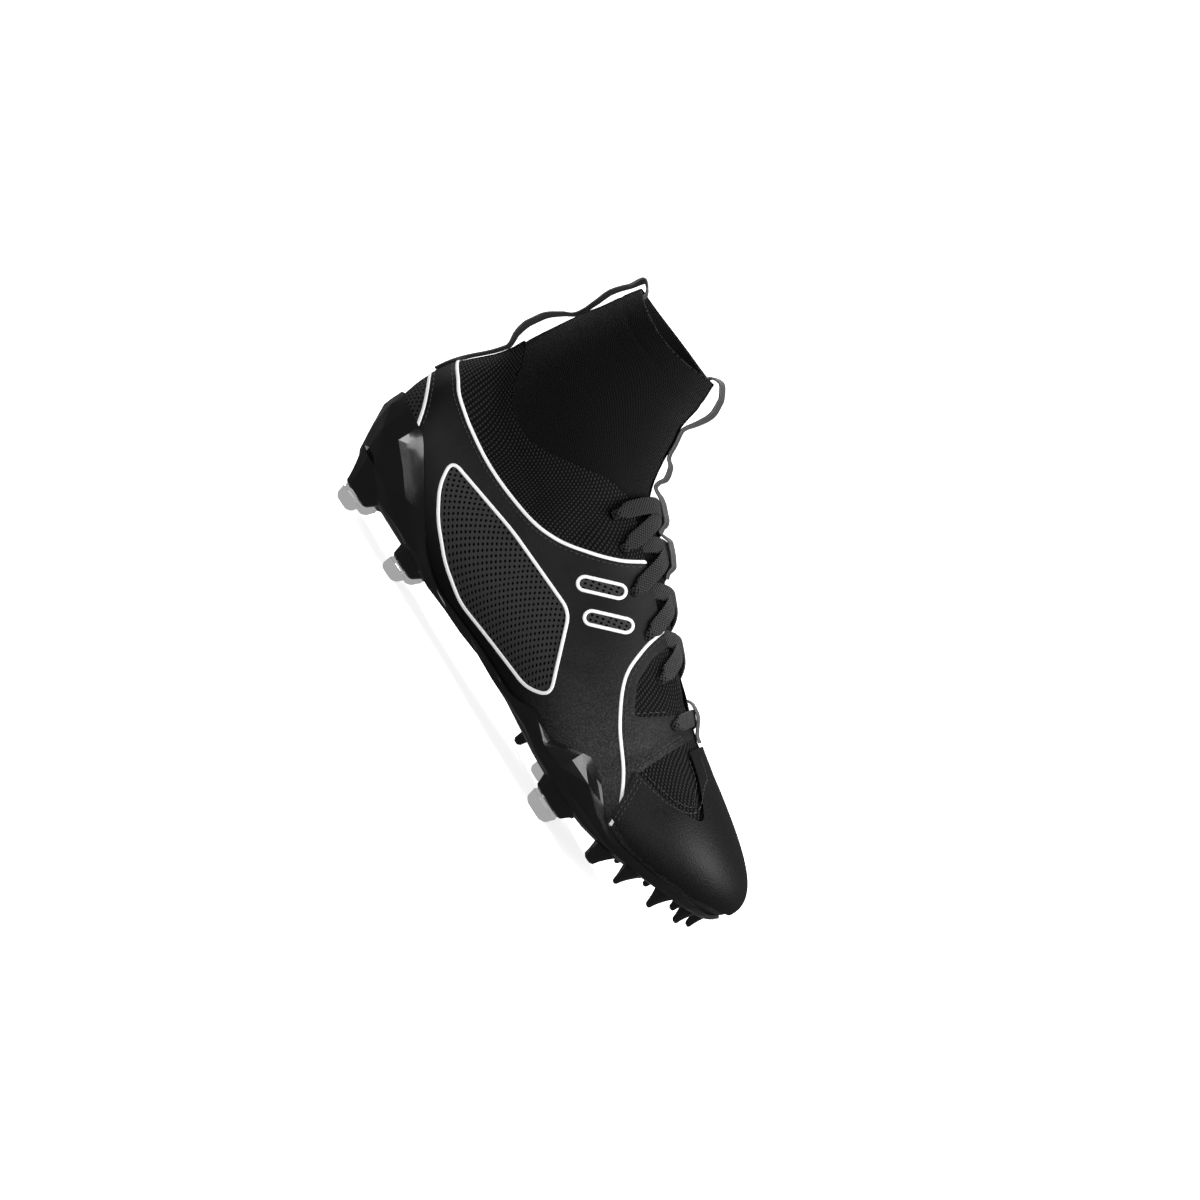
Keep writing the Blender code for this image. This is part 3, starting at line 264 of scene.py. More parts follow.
def respaced(lines, shares):
    """Polylines lines[row, point, axis] read again at shares of their own length."""
    run = run_length(lines)
    length = run[:, -1:]
    at = np.broadcast_to(shares, (len(lines), np.shape(shares)[-1])) * length
    run = run + np.arange(run.shape[1]) * 1e-12
    return np.stack([row_interp(at, run, lines[..., k]) for k in range(lines.shape[2])], 2)


def bezier(p0, p1, p2, p3, t):
    """Cubic curves between arrays of points, read at t[row, point]: the four points weighted
    by the Bernstein terms of t."""
    t = t[..., None]
    p0, p1, p2, p3 = (p[:, None, :] for p in (p0, p1, p2, p3))
    return (1 - t) ** 3 * p0 + 3 * (1 - t) ** 2 * t * p1 + 3 * (1 - t) * t * t * p2 + t ** 3 * p3


class Rays:
    """Upright half-planes of the last at the places u on one side (-1 outer, +1 inner)."""

    def __init__(self, u, side):
        self.u = np.asarray(u, float)
        self.side = np.broadcast_to(side, self.u.shape).astype(float)
        heel = np.clip((HEEL_CENTRE - self.u) / HEEL_CENTRE, 0, 1) * pi / 2
        toe = np.clip((self.u - TOE_X) / TOE_CENTRE, 0, 1) * pi / 2
        self.in_heel, self.in_toe = heel > 1e-9, toe > 1e-9
        self.x = np.clip(self.u, HEEL_CENTRE, TOE_X)
        self.dx = np.sin(toe) - np.sin(heel)
        self.dy = self.side * np.cos(toe + heel)
        self.end = np.abs(self.dx)
        blend = self.end ** 2
        half = HALF * np.where(self.side < 0, section("outer", self.x), section("inner", self.x))
        corner = HALF * section("corner", self.x)
        wide = INSTEP_RISE * section("wide", self.x)
        self.reach = np.where(self.in_heel, self.oval(HEEL_CENTRE - HEEL_ROOM, half, 2.15),
                              np.where(self.in_toe, self.oval(TOE_CENTRE, half, 2.1), half))
        corner += np.where(self.in_heel, (HEEL_CORNER - corner) * blend, 0)
        corner += np.where(self.in_toe, (TOE_CORNER - corner) * blend, 0)
        wide += np.where(self.in_heel, (HEEL_BULGE - wide) * blend, 0)
        wide += np.where(self.in_toe, (TOE_BULGE - wide) * blend, 0)
        self.power = 2.0 - np.where(self.in_heel, 0.40 * blend, 0)
        self.corner = corner
        self.corner_start = self.reach - corner
        self.floor = bottom(self.x + self.dx * self.corner_start)
        self.wide = self.floor + wide
        self.throat = ~self.in_heel & ~self.in_toe & (self.u >= THROAT_START * LENGTH)
        self.collared = ~self.in_toe & ~self.throat

    def oval(self, along, across, power):
        """How far a ray runs to a superellipse with these two half sizes."""
        return ((self.end / along) ** power + (np.abs(self.dy) / across) ** power) ** (-1 / power)

    def corner_line(self, count, grow=0.0):
        """The feather corner: a superellipse quarter from the flat bottom to the widest point,
        grown outwards and downwards by grow."""
        a = np.linspace(0, pi / 2, count)[None, :]
        power = self.power[:, None]
        out = np.sin(a) ** (2 / power)
        up = 1 - np.cos(a) ** (2 / power)
        r = self.corner_start[:, None] + (self.corner[:, None] + grow) * out
        floor = self.floor[:, None] - grow
        return np.stack((r, floor + (self.wide[:, None] - floor) * up), 2)

    def handles(self):
        """The four points of the cubic from the widest point to the ridge: the first handle goes
        straight up, the second level, but for a slope in the toe."""
        top = BASE + INSTEP_RISE * section("ridge", self.x)
        slope = np.where(self.in_toe, 0.2 * self.end, 0)
        rise = (top - self.wide) * section("rise", self.x)
        reach = self.reach * section("reach", self.x)
        p0 = np.stack((self.reach, self.wide), 1)
        p3 = np.stack((np.zeros_like(top), top), 1)
        p1 = p0 + np.stack((np.zeros_like(rise), rise), 1)
        p2 = p3 + np.stack((reach, -slope * reach), 1)
        return p0, p1, p2, p3

    def ridge_line(self, count, stop=0.0):
        """From the widest point over towards the ridge: one cubic with an upright first handle,
        ended where it is stop away from the middle."""
        t = np.broadcast_to(np.linspace(0, 1, 200), (len(self.u), 200))
        line = bezier(*self.handles(), t)
        stop = np.broadcast_to(stop, self.u.shape)[:, None]
        last = row_interp(-stop, -line[..., 0], t)
        return bezier(*self.handles(), last * np.linspace(0, 1, count)[None, :])

    def collar_line(self, count):
        """From the widest point up to the collar seam, ending along the sock's own wall. Near
        the throat it turns into the ridge line, so that the two kinds of ray join."""
        z = collar_height(self.x + self.dx * self.reach)
        for _ in range(4):
            r = sock_reach(self.x, self.dx, self.dy, z)
            z = collar_height(self.x + self.dx * r)
        low = sock_reach(self.x, self.dx, self.dy, z - 2 * MM)
        lean = (sock_reach(self.x, self.dx, self.dy, z) - low) / (2 * MM)
        p0 = np.stack((self.reach, self.wide), 1)
        p3 = np.stack((r + GAP + 1.2 * MM, z), 1)
        hand = 0.42 * (z - self.wide) / (1 + lean * lean)
        rise = (0.42 + np.where(self.in_heel, 0.12 * self.end, 0)) * (z - self.wide)
        t = np.broadcast_to(np.linspace(0, 1, count), (len(self.u), count))
        line = bezier(p0, p0 + np.stack((0 * rise, rise), 1),
                      p3 - np.stack((lean * hand, hand), 1), p3, t)
        even = np.linspace(0, 1, count)
        ridge = respaced(self.ridge_line(count, p3[:, 0]), even)
        ridge = ridge + (p3[:, None] - ridge[:, -1:]) * even[None, :, None] ** 2
        share = smooth_step(self.x / LENGTH, BLEND_START, THROAT_START)
        share = np.where(self.in_heel, 0, share)[:, None, None]
        return respaced(line, even) * (1 - share) + ridge * share

    def profile(self, count=150):
        """The whole outer profile (r, z): lasting margin, corner, and side up to the opening's
        edge, or to the ridge where the last is closed."""
        inside = self.corner_start - LASTING_MARGIN
        margin = np.stack((inside, bottom(self.x + self.dx * inside)), 1)[:, None]
        gap = np.where(self.throat, throat_half(self.u), 0.0)
        side = np.where(self.collared[:, None, None], self.collar_line(count),
                        self.ridge_line(count, gap))
        return np.concatenate((margin, self.corner_line(40)[:, :-1], side), 1)

    def place(self, line):
        """Profile points (r, z) put in space."""
        x = self.x[:, None] + self.dx[:, None] * line[..., 0]
        y = self.dy[:, None] * line[..., 0] + swing(x)
        return np.stack((x - LENGTH / 2, y, line[..., 1]), 2)


def round_places(step):
    """Places u of one side, about step apart on the surface, with rays on the zone borders."""
    heel = np.linspace(0, HEEL_CENTRE, round(48 * MM / step) + 1)
    stops = (HEEL_CENTRE, THROAT_START * LENGTH, 0.700 * LENGTH, THROAT_END * LENGTH, TOE_X)
    level = [np.linspace(a, b, max(3, round((b - a) / step)) + 1)[1:]
             for a, b in zip(stops, stops[1:])]
    toe = np.linspace(TOE_X, LENGTH, round(74 * MM / step) + 1)[1:]
    return np.concatenate((heel, *level, toe))


def both_sides(u, closed=True):
    """Rays in one round: heel, outer side, toe, inner side, where an open round keeps both ends."""
    back = u[-2:0:-1] if closed else u[-2::-1]
    return Rays(np.concatenate((u, back)), np.repeat((-1.0, 1.0), (len(u), len(back))))


def skin_at(u, share, side):
    """Points of the last's surface at these shares of the profiles at u."""
    rays = Rays(u, side)
    return rays.place(respaced(rays.profile(), share[:, None]))[:, 0]


def skin_points(u, z, side, lift):
    """Points and outward normals at the side view's (u, z), lifted off the surface. The share of
    the profile is read at height z, since z rises along every profile, and the normal is the
    cross product of short ways along the shoe and up the profile."""
    line = respaced(Rays(u, side).profile(), np.linspace(0, 1, 240))
    rise = line[..., 1] + np.arange(240) * 1e-9
    share = row_interp(z[:, None], rise, np.broadcast_to(np.linspace(0, 1, 240), rise.shape))[:, 0]
    share = np.clip(share, 0.004, 0.996)
    along = skin_at(u + 0.4 * MM, share, side) - skin_at(u - 0.4 * MM, share, side)
    up = skin_at(u, share + 0.003, side) - skin_at(u, share - 0.003, side)
    normal = np.cross(along, up) * -side
    normal /= np.linalg.norm(normal, axis=1)[:, None]
    return skin_at(u, share, side) + normal * lift, normal


# Meshes from arrays

def grid_faces(rows, columns, round_rows=False, round_columns=False):
    """Quads between neighbouring rows and columns of a grid of points laid out row by row."""
    row = np.arange(rows if round_rows else rows - 1)
    col = np.arange(columns if round_columns else columns - 1)
    a = (row[:, None] * columns + col[None, :]).ravel()
    b = (row[:, None] * columns + ((col + 1) % columns)[None, :]).ravel()
    c = (((row + 1) % rows)[:, None] * columns + ((col + 1) % columns)[None, :]).ravel()
    d = (((row + 1) % rows)[:, None] * columns + col[None, :]).ravel()
    return np.stack((a, b, c, d), 1)


def outward(points, faces):
    """The faces, turned over if the closed body that they make has a negative volume."""
    p = points[faces]
    volume = (np.einsum("ij,ij->i", p[:, 0], np.cross(p[:, 1], p[:, 2]))
              + np.einsum("ij,ij->i", p[:, 0], np.cross(p[:, 2], p[:, 3]))).sum()
    return faces[:, ::-1] if volume < 0 else faces


def new_piece(name, points, faces, look=None, place=None, weld=0.01 * MM, **numbers):
    """An object from arrays of points and faces. numbers and place are attributes of its points,
    repeated where the two skins of a wall share them. Points nearer than weld are merged."""
    mesh = bpy.data.meshes.new(name)
    points = np.asarray(points, np.float64).reshape(-1, 3)
    mesh.vertices.add(len(points))
    mesh.vertices.foreach_set("co", points.astype(np.float32).ravel())
    mesh.loops.add(faces.size)
    mesh.loops.foreach_set("vertex_index", faces.astype(np.int32).ravel())
    mesh.polygons.add(len(faces))
    mesh.polygons.foreach_set("loop_start", np.arange(0, faces.size, faces.shape[1], dtype=np.int32))
    mesh.update(calc_edges=True)
    for label, values in numbers.items():
        layer = mesh.attributes.new(label, "FLOAT", "POINT")
        layer.data.foreach_set("value", np.resize(values, len(points)).astype(np.float32))
    if place is not None:
        layer = mesh.attributes.new("place", "FLOAT_VECTOR", "POINT")
        layer.data.foreach_set("vector", np.resize(place, points.size).astype(np.float32))
    if weld:
        bm = bmesh.new()
        bm.from_mesh(mesh)
        bmesh.ops.remove_doubles(bm, verts=bm.verts, dist=weld)
        bmesh.ops.dissolve_degenerate(bm, dist=weld / 10, edges=bm.edges)
        bmesh.ops.recalc_face_normals(bm, faces=bm.faces)
        bm.to_mesh(mesh)
        bm.free()
    mesh.shade_smooth()
    if look:
        mesh.materials.append(look)
    return linked(name, mesh)


def linked(name, data):
    """A new object in the scene for this mesh, lamp or camera."""
    made = bpy.data.objects.new(name, data)
    bpy.context.scene.collection.objects.link(made)
    return made


def finish_piece(piece, nodes=(), sharp=None):
    """The piece gets hard edges past an angle in degrees, rides on the shoe, and stands for
    these nodes of the frame."""
    if sharp:
        piece.data.set_sharp_from_angle(angle=radians(sharp))
    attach(piece, "root")
    if nodes:
        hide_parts(*nodes)


def unit(vectors):
    """The vectors divided by their lengths."""
    return vectors / np.maximum(np.linalg.norm(vectors, axis=-1, keepdims=True), 1e-12)


def round_shape(sides, power):
    """A superellipse of half size 1: |cos|^(2/power) and |sin|^(2/power) with their signs."""
    a = np.arange(sides) * 2 * pi / sides
    return np.stack((np.sign(np.cos(a)) * np.abs(np.cos(a)) ** (2 / power),
                     np.sign(np.sin(a)) * np.abs(np.sin(a)) ** (2 / power)), 1)


def sweep(centres, normals, wide, high, sides=12, power=2.0, ring=False):
    """Closed bodies carried along paths. centres and normals are [path, point, axis]; wide and
    high are half sizes for each point, and the section is a superellipse. An open path's two
    ends shrink to a point, so that the body is closed. Returns points, faces and the places
    (across, along) of each point on the strip."""
    count, length = centres.shape[:2]
    if ring:
        ahead = np.roll(centres, -1, axis=1) - np.roll(centres, 1, axis=1)
    else:
        ahead = np.gradient(centres, axis=1)
    across = unit(np.cross(ahead, normals))
    up = unit(np.cross(across, ahead))
    wide, high = (np.broadcast_to(v, (count, length))[..., None, None] for v in (wide, high))
    c, s = round_shape(sides, power).T
    rings = (centres[:, :, None] + across[:, :, None] * wide * c[None, None, :, None]
             + up[:, :, None] * high * s[None, None, :, None])
    place = np.stack(np.broadcast_arrays(wide[..., 0] * c, run_length(centres)[..., None], 0.0), 3)
    if not ring:
        ends = [np.broadcast_to(ring.mean(2, keepdims=True), (count, 1, sides, 3))
                for ring in (rings[:, :1], rings[:, -1:])]
        rings = np.concatenate((ends[0], rings, ends[1]), 1)
        place = np.concatenate((place[:, :1], place, place[:, -1:]), 1)
    length = rings.shape[1]
    faces = grid_faces(length, sides, round_rows=ring, round_columns=True)
    first = outward(rings[0].reshape(-1, 3), faces)
    faces = (first[None] + (np.arange(count) * length * sides)[:, None, None]).reshape(-1, 4)
    return rings.reshape(-1, 3), faces, place.reshape(-1, 3)


def joined(bodies):
    """Several (points, faces, places) laid end to end."""
    starts = np.cumsum([0] + [len(points) for points, _, _ in bodies[:-1]])
    bodies = [(points, faces + start, place)
              for (points, faces, place), start in zip(bodies, starts)]
    return [np.concatenate(arrays) for arrays in zip(*bodies)]


def boolean(piece, other, operation):
    """The piece cut by, cut to or joined with another closed body, which is then removed."""
    change = piece.modifiers.new(operation.title(), "BOOLEAN")
    change.operation, change.solver, change.object = operation, "MANIFOLD", other
    graph = bpy.context.evaluated_depsgraph_get()
    mesh = bpy.data.meshes.new_from_object(piece.evaluated_get(graph))
    piece.modifiers.clear()
    piece.data = mesh
    bpy.data.objects.remove(other, do_unlink=True)


# Materials

class Wire:
    """A number on its way through a material. The operators add Math nodes."""

    def __init__(self, look, socket):
        self.look, self.socket = look, socket

    def math(self, operation, *others, flip=False):
        """A Math node of this and other numbers, with this one last when flipped."""
        values = (*others, self) if flip else (self, *others)
        node = self.look.node("Math", {"operation": operation}, *values)
        return Wire(self.look, node.outputs[0])

    __add__ = __radd__ = partialmethod(math, "ADD")
    __mul__ = __rmul__ = partialmethod(math, "MULTIPLY")
    __sub__ = partialmethod(math, "SUBTRACT")
    __rsub__ = partialmethod(math, "SUBTRACT", flip=True)
    __truediv__ = partialmethod(math, "DIVIDE")
    __pow__ = partialmethod(math, "POWER")
    abs = partialmethod(math, "ABSOLUTE")
    floor = partialmethod(math, "FLOOR")
    fract = partialmethod(math, "FRACT")

    def wave(self, start=0.0):
        """A sine between 0 and 1 for each step of 1, with its start in radians."""
        turns = self * (2 * pi)
        return (turns + start if start else turns).math("SINE") * 0.5 + 0.5

    def rise(self, low, high):
        """0 below low, 1 above high, smooth between."""
        node = self.look.node("MapRange", {"interpolation_type": "SMOOTHSTEP", "clamp": True},
                              Value=self, **{"From Min": low, "From Max": high})
        return Wire(self.look, node.outputs[0])


class Look:
    """A material in the making: one Principled shader, whose plain values are set at once."""

    def __init__(self, name, **values):
        self.material = bpy.data.materials.new(name)
        self.material.use_nodes = True
        self.tree = self.material.node_tree
        self.shader = self.tree.nodes["Principled BSDF"]
        for label, value in values.items():
            self.shader.inputs[label.replace("_", " ")].default_value = value

    def node(self, kind, settings=None, *inputs, **named):
        """A node of this kind: its settings first, then its sockets, by place or by name."""
        made = self.tree.nodes.new("ShaderNode" + kind)
        for label, value in (settings or {}).items():
            setattr(made, label, value)
        for key, value in (*enumerate(inputs), *named.items()):
            self.feed(made.inputs[key], value)
        return made

    def feed(self, socket, value):
        """Links a socket to a wire or an output, or sets its plain value."""
        if isinstance(value, Wire):
            self.tree.links.new(value.socket, socket)
        elif isinstance(value, bpy.types.NodeSocket):
            self.tree.links.new(value, socket)
        else:
            socket.default_value = value

    def attribute(self, name):
        """A number that the mesh carries."""
        return Wire(self, self.node("Attribute", {"attribute_name": name}).outputs["Fac"])

    def place(self):
        """The two lengths of the piece's own surface coordinates, in millimetres."""
        made = self.node("Attribute", {"attribute_name": "place"})
        split = self.node("SeparateXYZ", None, made.outputs["Vector"])
        return [Wire(self, socket) * 1000.0 for socket in split.outputs[:2]]

    def position(self):
        """The object coordinates."""
        return self.node("TexCoord").outputs["Object"]

    def axes(self):
        """The three object coordinates, in millimetres."""
        split = self.node("SeparateXYZ", None, self.position())
        return [Wire(self, socket) * 1000.0 for socket in split.outputs]

    def noise(self, scale, detail=2.0, roughness=0.5):
        """Noise between 0 and 1, with scale waves a millimetre."""
        made = self.node("TexNoise", None, Vector=self.position(),
                         Scale=scale * 1000.0, Detail=detail, Roughness=roughness)
        return Wire(self, made.outputs["Fac"])

    def blend(self, share, low, high):
        """A colour between two colours."""
        made = self.node("Mix", {"data_type": "RGBA"})
        self.feed(made.inputs["Factor"], share)
        self.feed(made.inputs["A"], (*low, 1) if isinstance(low, tuple) else low)
        self.feed(made.inputs["B"], (*high, 1) if isinstance(high, tuple) else high)
        return made.outputs["Result"]

    def shades(self, share, colour, low, high=1.0):
        """A blend between two shades of one colour."""
        return self.blend(share, *(tuple(by * c for c in colour) for by in (low, high)))

    def put(self, label, value):
        """Feeds a socket of the shader."""
        self.feed(self.shader.inputs[label], value)

    def gaps(self, mask):
        """Painted shade: where mask is 1 the surface is a dark gap without gloss."""
        dark = self.node("BsdfPrincipled", None, Roughness=1.0)
        dark.inputs["Base Color"].default_value = (0.001, 0.001, 0.001, 1)
        dark.inputs["Specular IOR Level"].default_value = 0.0
        both = self.node("MixShader", None, mask, self.shader.outputs[0], dark.outputs[0])
        self.tree.links.new(both.outputs[0], self.tree.nodes["Material Output"].inputs["Surface"])

    def relief(self, height, depth):
        """Bump: height 0 to 1 stands for depth metres."""
        made = self.node("Bump", None, Height=height, Strength=1.0, Distance=depth)
        self.put("Normal", made.outputs["Normal"])


def knit_height(look, column, row):
    """Rows of V stitches: two strands lean towards the middle of each column."""
    s, v = look.place()
    lean = ((s / column).fract() - 0.5).abs() * 2.0
    strand = (v / row + lean * 0.55).wave()
    body = 1.0 - ((lean - 0.5) * 2.0).abs() ** 2.0
    return strand * (body * 0.75 + 0.25)


def knit_look(name, colour, column, row):
    """Knit whose gaps go dark with painted shade: the stitches' height, with a little slow noise, sets
    its shade.
    """
    look = Look(name, Roughness=0.88, Specular_IOR_Level=0.18, Sheen_Weight=0.10,
                Sheen_Roughness=0.45)
    height = knit_height(look, column, row)
    cloud = look.noise(0.12, 3.0)
    shade = (height * 0.75 + cloud * 0.25).rise(0.1, 0.95)
    look.put("Base Color", look.shades(shade, colour, 0.38))
    look.gaps((1.0 - height).rise(0.45, 0.95) * 0.75)
    look.relief(height, 0.30 * MM)
    return look.material


def upper_look(sizes):
    """Smooth synthetic leather with woven mesh and punched panels, told apart by the signed
    distances that the mesh carries."""
    look = Look("upper_panels", Specular_IOR_Level=0.24)
    s, v = look.place()
    mesh_zone = look.attribute("mesh_zone").rise(-0.15, 0.15)
    hole_zone = look.attribute("hole_zone").rise(-0.15, 0.15)
    mesh_row, mesh_cell = sizes.mesh_row / MM, sizes.mesh_cell / MM
    pitch = sizes.hole_pitch / MM
    row = (v / mesh_row).floor()
    along = (s / mesh_cell + row * 0.5 + (v / mesh_row).fract() * 0.45).fract()
    cell = ((along - 0.5) / 0.36) ** 2.0 + (((v / mesh_row).fract() - 0.5) / 0.46) ** 2.0
    thread = 1.0 - cell.rise(0.25, 1.05)
    twist = (s * 3.1 + v * 2.3).wave()
    hole_row = (v / (pitch * 0.54)).floor()
    across = ((s / pitch + hole_row * 0.5).fract() - 0.5) * pitch
    down = ((v / (pitch * 0.54)).fract() - 0.5) * (pitch * 0.54)
    hole = 1.0 - ((across * across + down * down) ** 0.5).rise(0.50, 0.72)
    hole = hole * look.attribute("hole_zone").rise(0.9, 1.1)
    grain = look.noise(2.2, 3.0, 0.6)
    cloud = look.noise(0.05, 2.0)
    smooth = look.shades(cloud, sizes.leather, 0.8)
    # Painted light: the smooth leather turns lighter in noisy patches from the midfoot forwards and low
    # down, where the light falls on the forefoot.
    x, _y, z = look.axes()
    painted_forefoot_light = x.rise(-12.0, 58.0) * (1.0 - z.rise(48.0, 95.0) * 0.75)
    smooth = look.blend(painted_forefoot_light * (0.2 + look.noise(1.3, 3.0, 0.7).rise(0.44, 0.6) * 0.8), smooth,
                        tuple(15 * c for c in sizes.leather))
    # Painted shade: the woven mesh darkens between its threads, and the punched holes are near black.
    woven = look.shades(thread * (0.75 + twist * 0.25), sizes.mesh, 0.25)
    punched = look.blend(hole, tuple(sizes.punched), (0.002, 0.002, 0.002))
    colour = look.blend(hole_zone, smooth, punched)
    look.put("Base Color", look.blend(mesh_zone, colour, woven))
    rough = (0.46 + grain * 0.10) * (1.0 - mesh_zone) + mesh_zone * 0.75 + hole_zone * 0.06
    look.put("Roughness", rough)
    flat = grain * 0.30 + 0.50
    punched_height = flat - hole * 0.75
    height = flat * (1.0 - hole_zone) + punched_height * hole_zone
    woven_height = thread * 0.95 + twist * 0.05
    # Painted shade: a dark shader fills the punched holes and the gaps between the mesh's threads.
    look.gaps(hole * hole_zone * (1.0 - mesh_zone) + (1.0 - thread) * mesh_zone * 0.62)
    look.relief(height * (1.0 - mesh_zone) + woven_height * mesh_zone, 0.42 * MM)
    return look.material


def grain_look(name, colour, pebble, depth, roughness):
    """Pebbled synthetic leather: rounded cells of uneven size over fine noise."""
    look = Look(name, Specular_IOR_Level=0.24)
    warp = look.noise(0.35, 2.0)
    cells = look.node("TexVoronoi", {"feature": "SMOOTH_F1"}, Vector=look.position(),
                      Scale=1000.0 / pebble, Smoothness=0.6)
    cell = 1.0 - Wire(look, cells.outputs["Distance"]).rise(0.12, 0.85)
    fine = look.noise(3.0, 3.0, 0.65)
    height = cell * 0.7 + fine * 0.3
    # Painted shade and light: darker in the hollows between pebbles, lighter on their tops, with some
    # random tone from the noise.
    shade = (height * 0.7 + warp * 0.3).rise(0.3, 0.75)
    look.put("Base Color", look.shades(shade, colour, 0.35, 1.2))
    look.put("Roughness", roughness - 0.08 + fine * 0.16)
    look.relief(height, depth)
    return look.material


def woven_look(name, colour, pitch, depth, roughness, sheen):
    """Flat braid: strands that lean both ways from the strip's middle line."""
    look = Look(name, Roughness=roughness, Specular_IOR_Level=0.25, Sheen_Weight=sheen,
                Sheen_Roughness=0.4)
    s, v = look.place()
    lean = s.abs() / pitch
    height = ((v / pitch + lean * 0.8).wave() + (v / pitch - lean * 0.8).wave(1.3)) * 0.5
    # Painted shade: the braid darkens where its strands dip, and a dark shader fills the deepest gaps.
    look.put("Base Color", look.shades(height.rise(0.05, 0.7), colour, 0.25))
    look.gaps((1.0 - height).rise(0.5, 0.95) * 0.8)
    look.relief(height, depth)
    return look.material


def ribbon_look(name, colour, rib):
    """Grosgrain: ribs straight across, a firmer edge, and a satin face."""
    look = Look(name, Specular_IOR_Level=0.9, Sheen_Weight=0.2, Sheen_Roughness=0.35)
    s, v = look.place()
    ribs = (v / rib).wave()
    edge = s.abs().rise(3.9, 4.3)
    cord = (v / (rib * 0.6)).wave()
    height = ribs * (1.0 - edge) + (cord * 0.5 + 0.5) * edge
    # Painted shade: the colour darkens in the low parts of the ribs and the edge cord.
    look.put("Base Color", look.shades(height, colour, 0.5))
    look.put("Roughness", 0.34 + (1.0 - height) * 0.25)
    look.relief(height, 0.14 * MM)
    return look.material


def plain_look(name, colour, roughness, **values):
    """A smooth finish with faint uneven gloss and small scuffs."""
    look = Look(name, **values)
    cloud = look.noise(0.09, 4.0, 0.6)
    fine = look.noise(1.1, 2.0)
    look.put("Base Color", look.shades(cloud, colour, 0.9))
    look.put("Roughness", roughness * 0.85 + (cloud * 0.6 + fine * 0.4) * roughness * 0.4)
    look.relief(fine * 0.5 + cloud * 0.5, 0.02 * MM)
    return look.material


def wall_between(outer, inner, around=False, sealed=None, first_wall=True):
    """A closed wall between two grids [column, row]. Strips close the first and the last row and,
    unless the grid runs around, the first and the last column. sealed marks the columns whose
    last row meets the other side, where no strip is needed."""
    columns, rows = outer.shape[:2]
    index = np.arange(columns * rows).reshape(columns, rows)
    skin = grid_faces(columns, rows, round_rows=around)
    faces = [skin, skin[:, ::-1] + index.size]

    def strip(line, flip):
        """Quads from a line of the outer grid to the same line of the inner one."""
        here, there = line[:-1], line[1:]
        quads = np.stack((here, there, there + index.size, here + index.size), 1)
        return quads[:, ::-1] if flip else quads

    turn = (lambda line: np.append(line, line[0])) if around else (lambda line: line)
    if first_wall:
        faces.append(strip(turn(index[:, 0]), True))
    top = strip(turn(index[:, -1]), False)
    if sealed is not None:
        shut = turn(sealed)
        top = top[~(shut[:-1] & shut[1:])]
    faces.append(top)
    if not around:
        faces += [strip(index[0], False), strip(index[-1], True)]
    points = np.concatenate((outer.reshape(-1, 3), inner.reshape(-1, 3)))
    return points, outward(points, np.concatenate(faces))


def grid_normals(points, around=False):
    """Unit normals of a grid [column, row, axis]: across its rows crossed with up its columns."""
    if around:
        across = np.roll(points, -1, 0) - np.roll(points, 1, 0)
    else:
        across = np.gradient(points, axis=0)
    return unit(np.cross(across, np.gradient(points, axis=1)))


def surface_place(points, around=False):
    """Lengths along the rows and up the columns of a grid, as coordinates for its finish. On a
    grid that runs around, both sides start at the first column."""
    run = run_length(np.concatenate((points, points[:1])), 0)
    s = np.minimum(run[:-1], run[-1:] - run[:-1]) if around else run[:-1]
    return np.stack((s, run_length(points), np.zeros_like(s)), 2)


# Places on the side view: x from the heel's back, and height, in millimetres

def along(x):
    """The place u whose ray meets the side at x metres."""
    heel = np.arcsin(np.clip((HEEL_CENTRE - x) / (HEEL_CENTRE - HEEL_ROOM), 0, 1)) / (pi / 2)
    toe = np.arcsin(np.clip((x - TOE_X) / TOE_CENTRE, 0, 1)) / (pi / 2)
    return np.where(x < HEEL_CENTRE, HEEL_CENTRE * (1 - heel),
                    np.where(x > TOE_X, TOE_X + TOE_CENTRE * toe, x))


def even_path(line, step):
    """The line read again at even steps of about this length."""
    line = np.asarray(line, float)
    length = run_length(line, 0)[-1]
    return respaced(line[None], np.linspace(0, 1, max(4, round(length / step)) + 1))[0]


def spline(points, step=1.0):
    """A smooth open curve through the points (Catmull-Rom), read at even steps."""
    p = np.asarray(points, float)
    p = np.concatenate((2 * p[:1] - p[1:2], p, 2 * p[-1:] - p[-2:-1]))
    t = np.linspace(0, 1, 24, endpoint=False)[:, None]
    parts = [0.5 * (2 * b + (c - a) * t + (2 * a - 5 * b + 4 * c - d) * t * t
                    + (3 * b - a - 3 * c + d) * t ** 3)
             for a, b, c, d in zip(p, p[1:], p[2:], p[3:])]
    return even_path(np.concatenate((*parts, p[-2:-1])), step)


def rounded(points, radius, step=1.0):
    """A closed outline of straight sides with round corners, read at even steps."""
    p = np.asarray(points, float)
    t = np.linspace(0, 1, 9)[:, None]
    line = []
    for a, b, c in zip(np.roll(p, 1, 0), p, np.roll(p, -1, 0)):
        start, end = b + unit(a - b) * radius, b + unit(c - b) * radius
        line.append((1 - t) ** 2 * start + 2 * t * (1 - t) * b + t * t * end)
    return even_path(np.concatenate((*line, line[0][:1])), step)


def slot(x0, z0, x1, z1, radius, step=1.0):
    """A pill-shaped outline between two points."""
    a, b = np.array((x0, z0), float), np.array((x1, z1), float)
    on = unit(b - a)
    off = np.array((-on[1], on[0]))
    turn = np.linspace(-pi / 2, pi / 2, 17)[:, None]
    ends = (b + radius * (on * np.cos(turn) + off * np.sin(turn)),
            a - radius * (on * np.cos(turn) + off * np.sin(turn)))
    line = np.concatenate(ends)
    return even_path(np.concatenate((line, line[:1])), step)


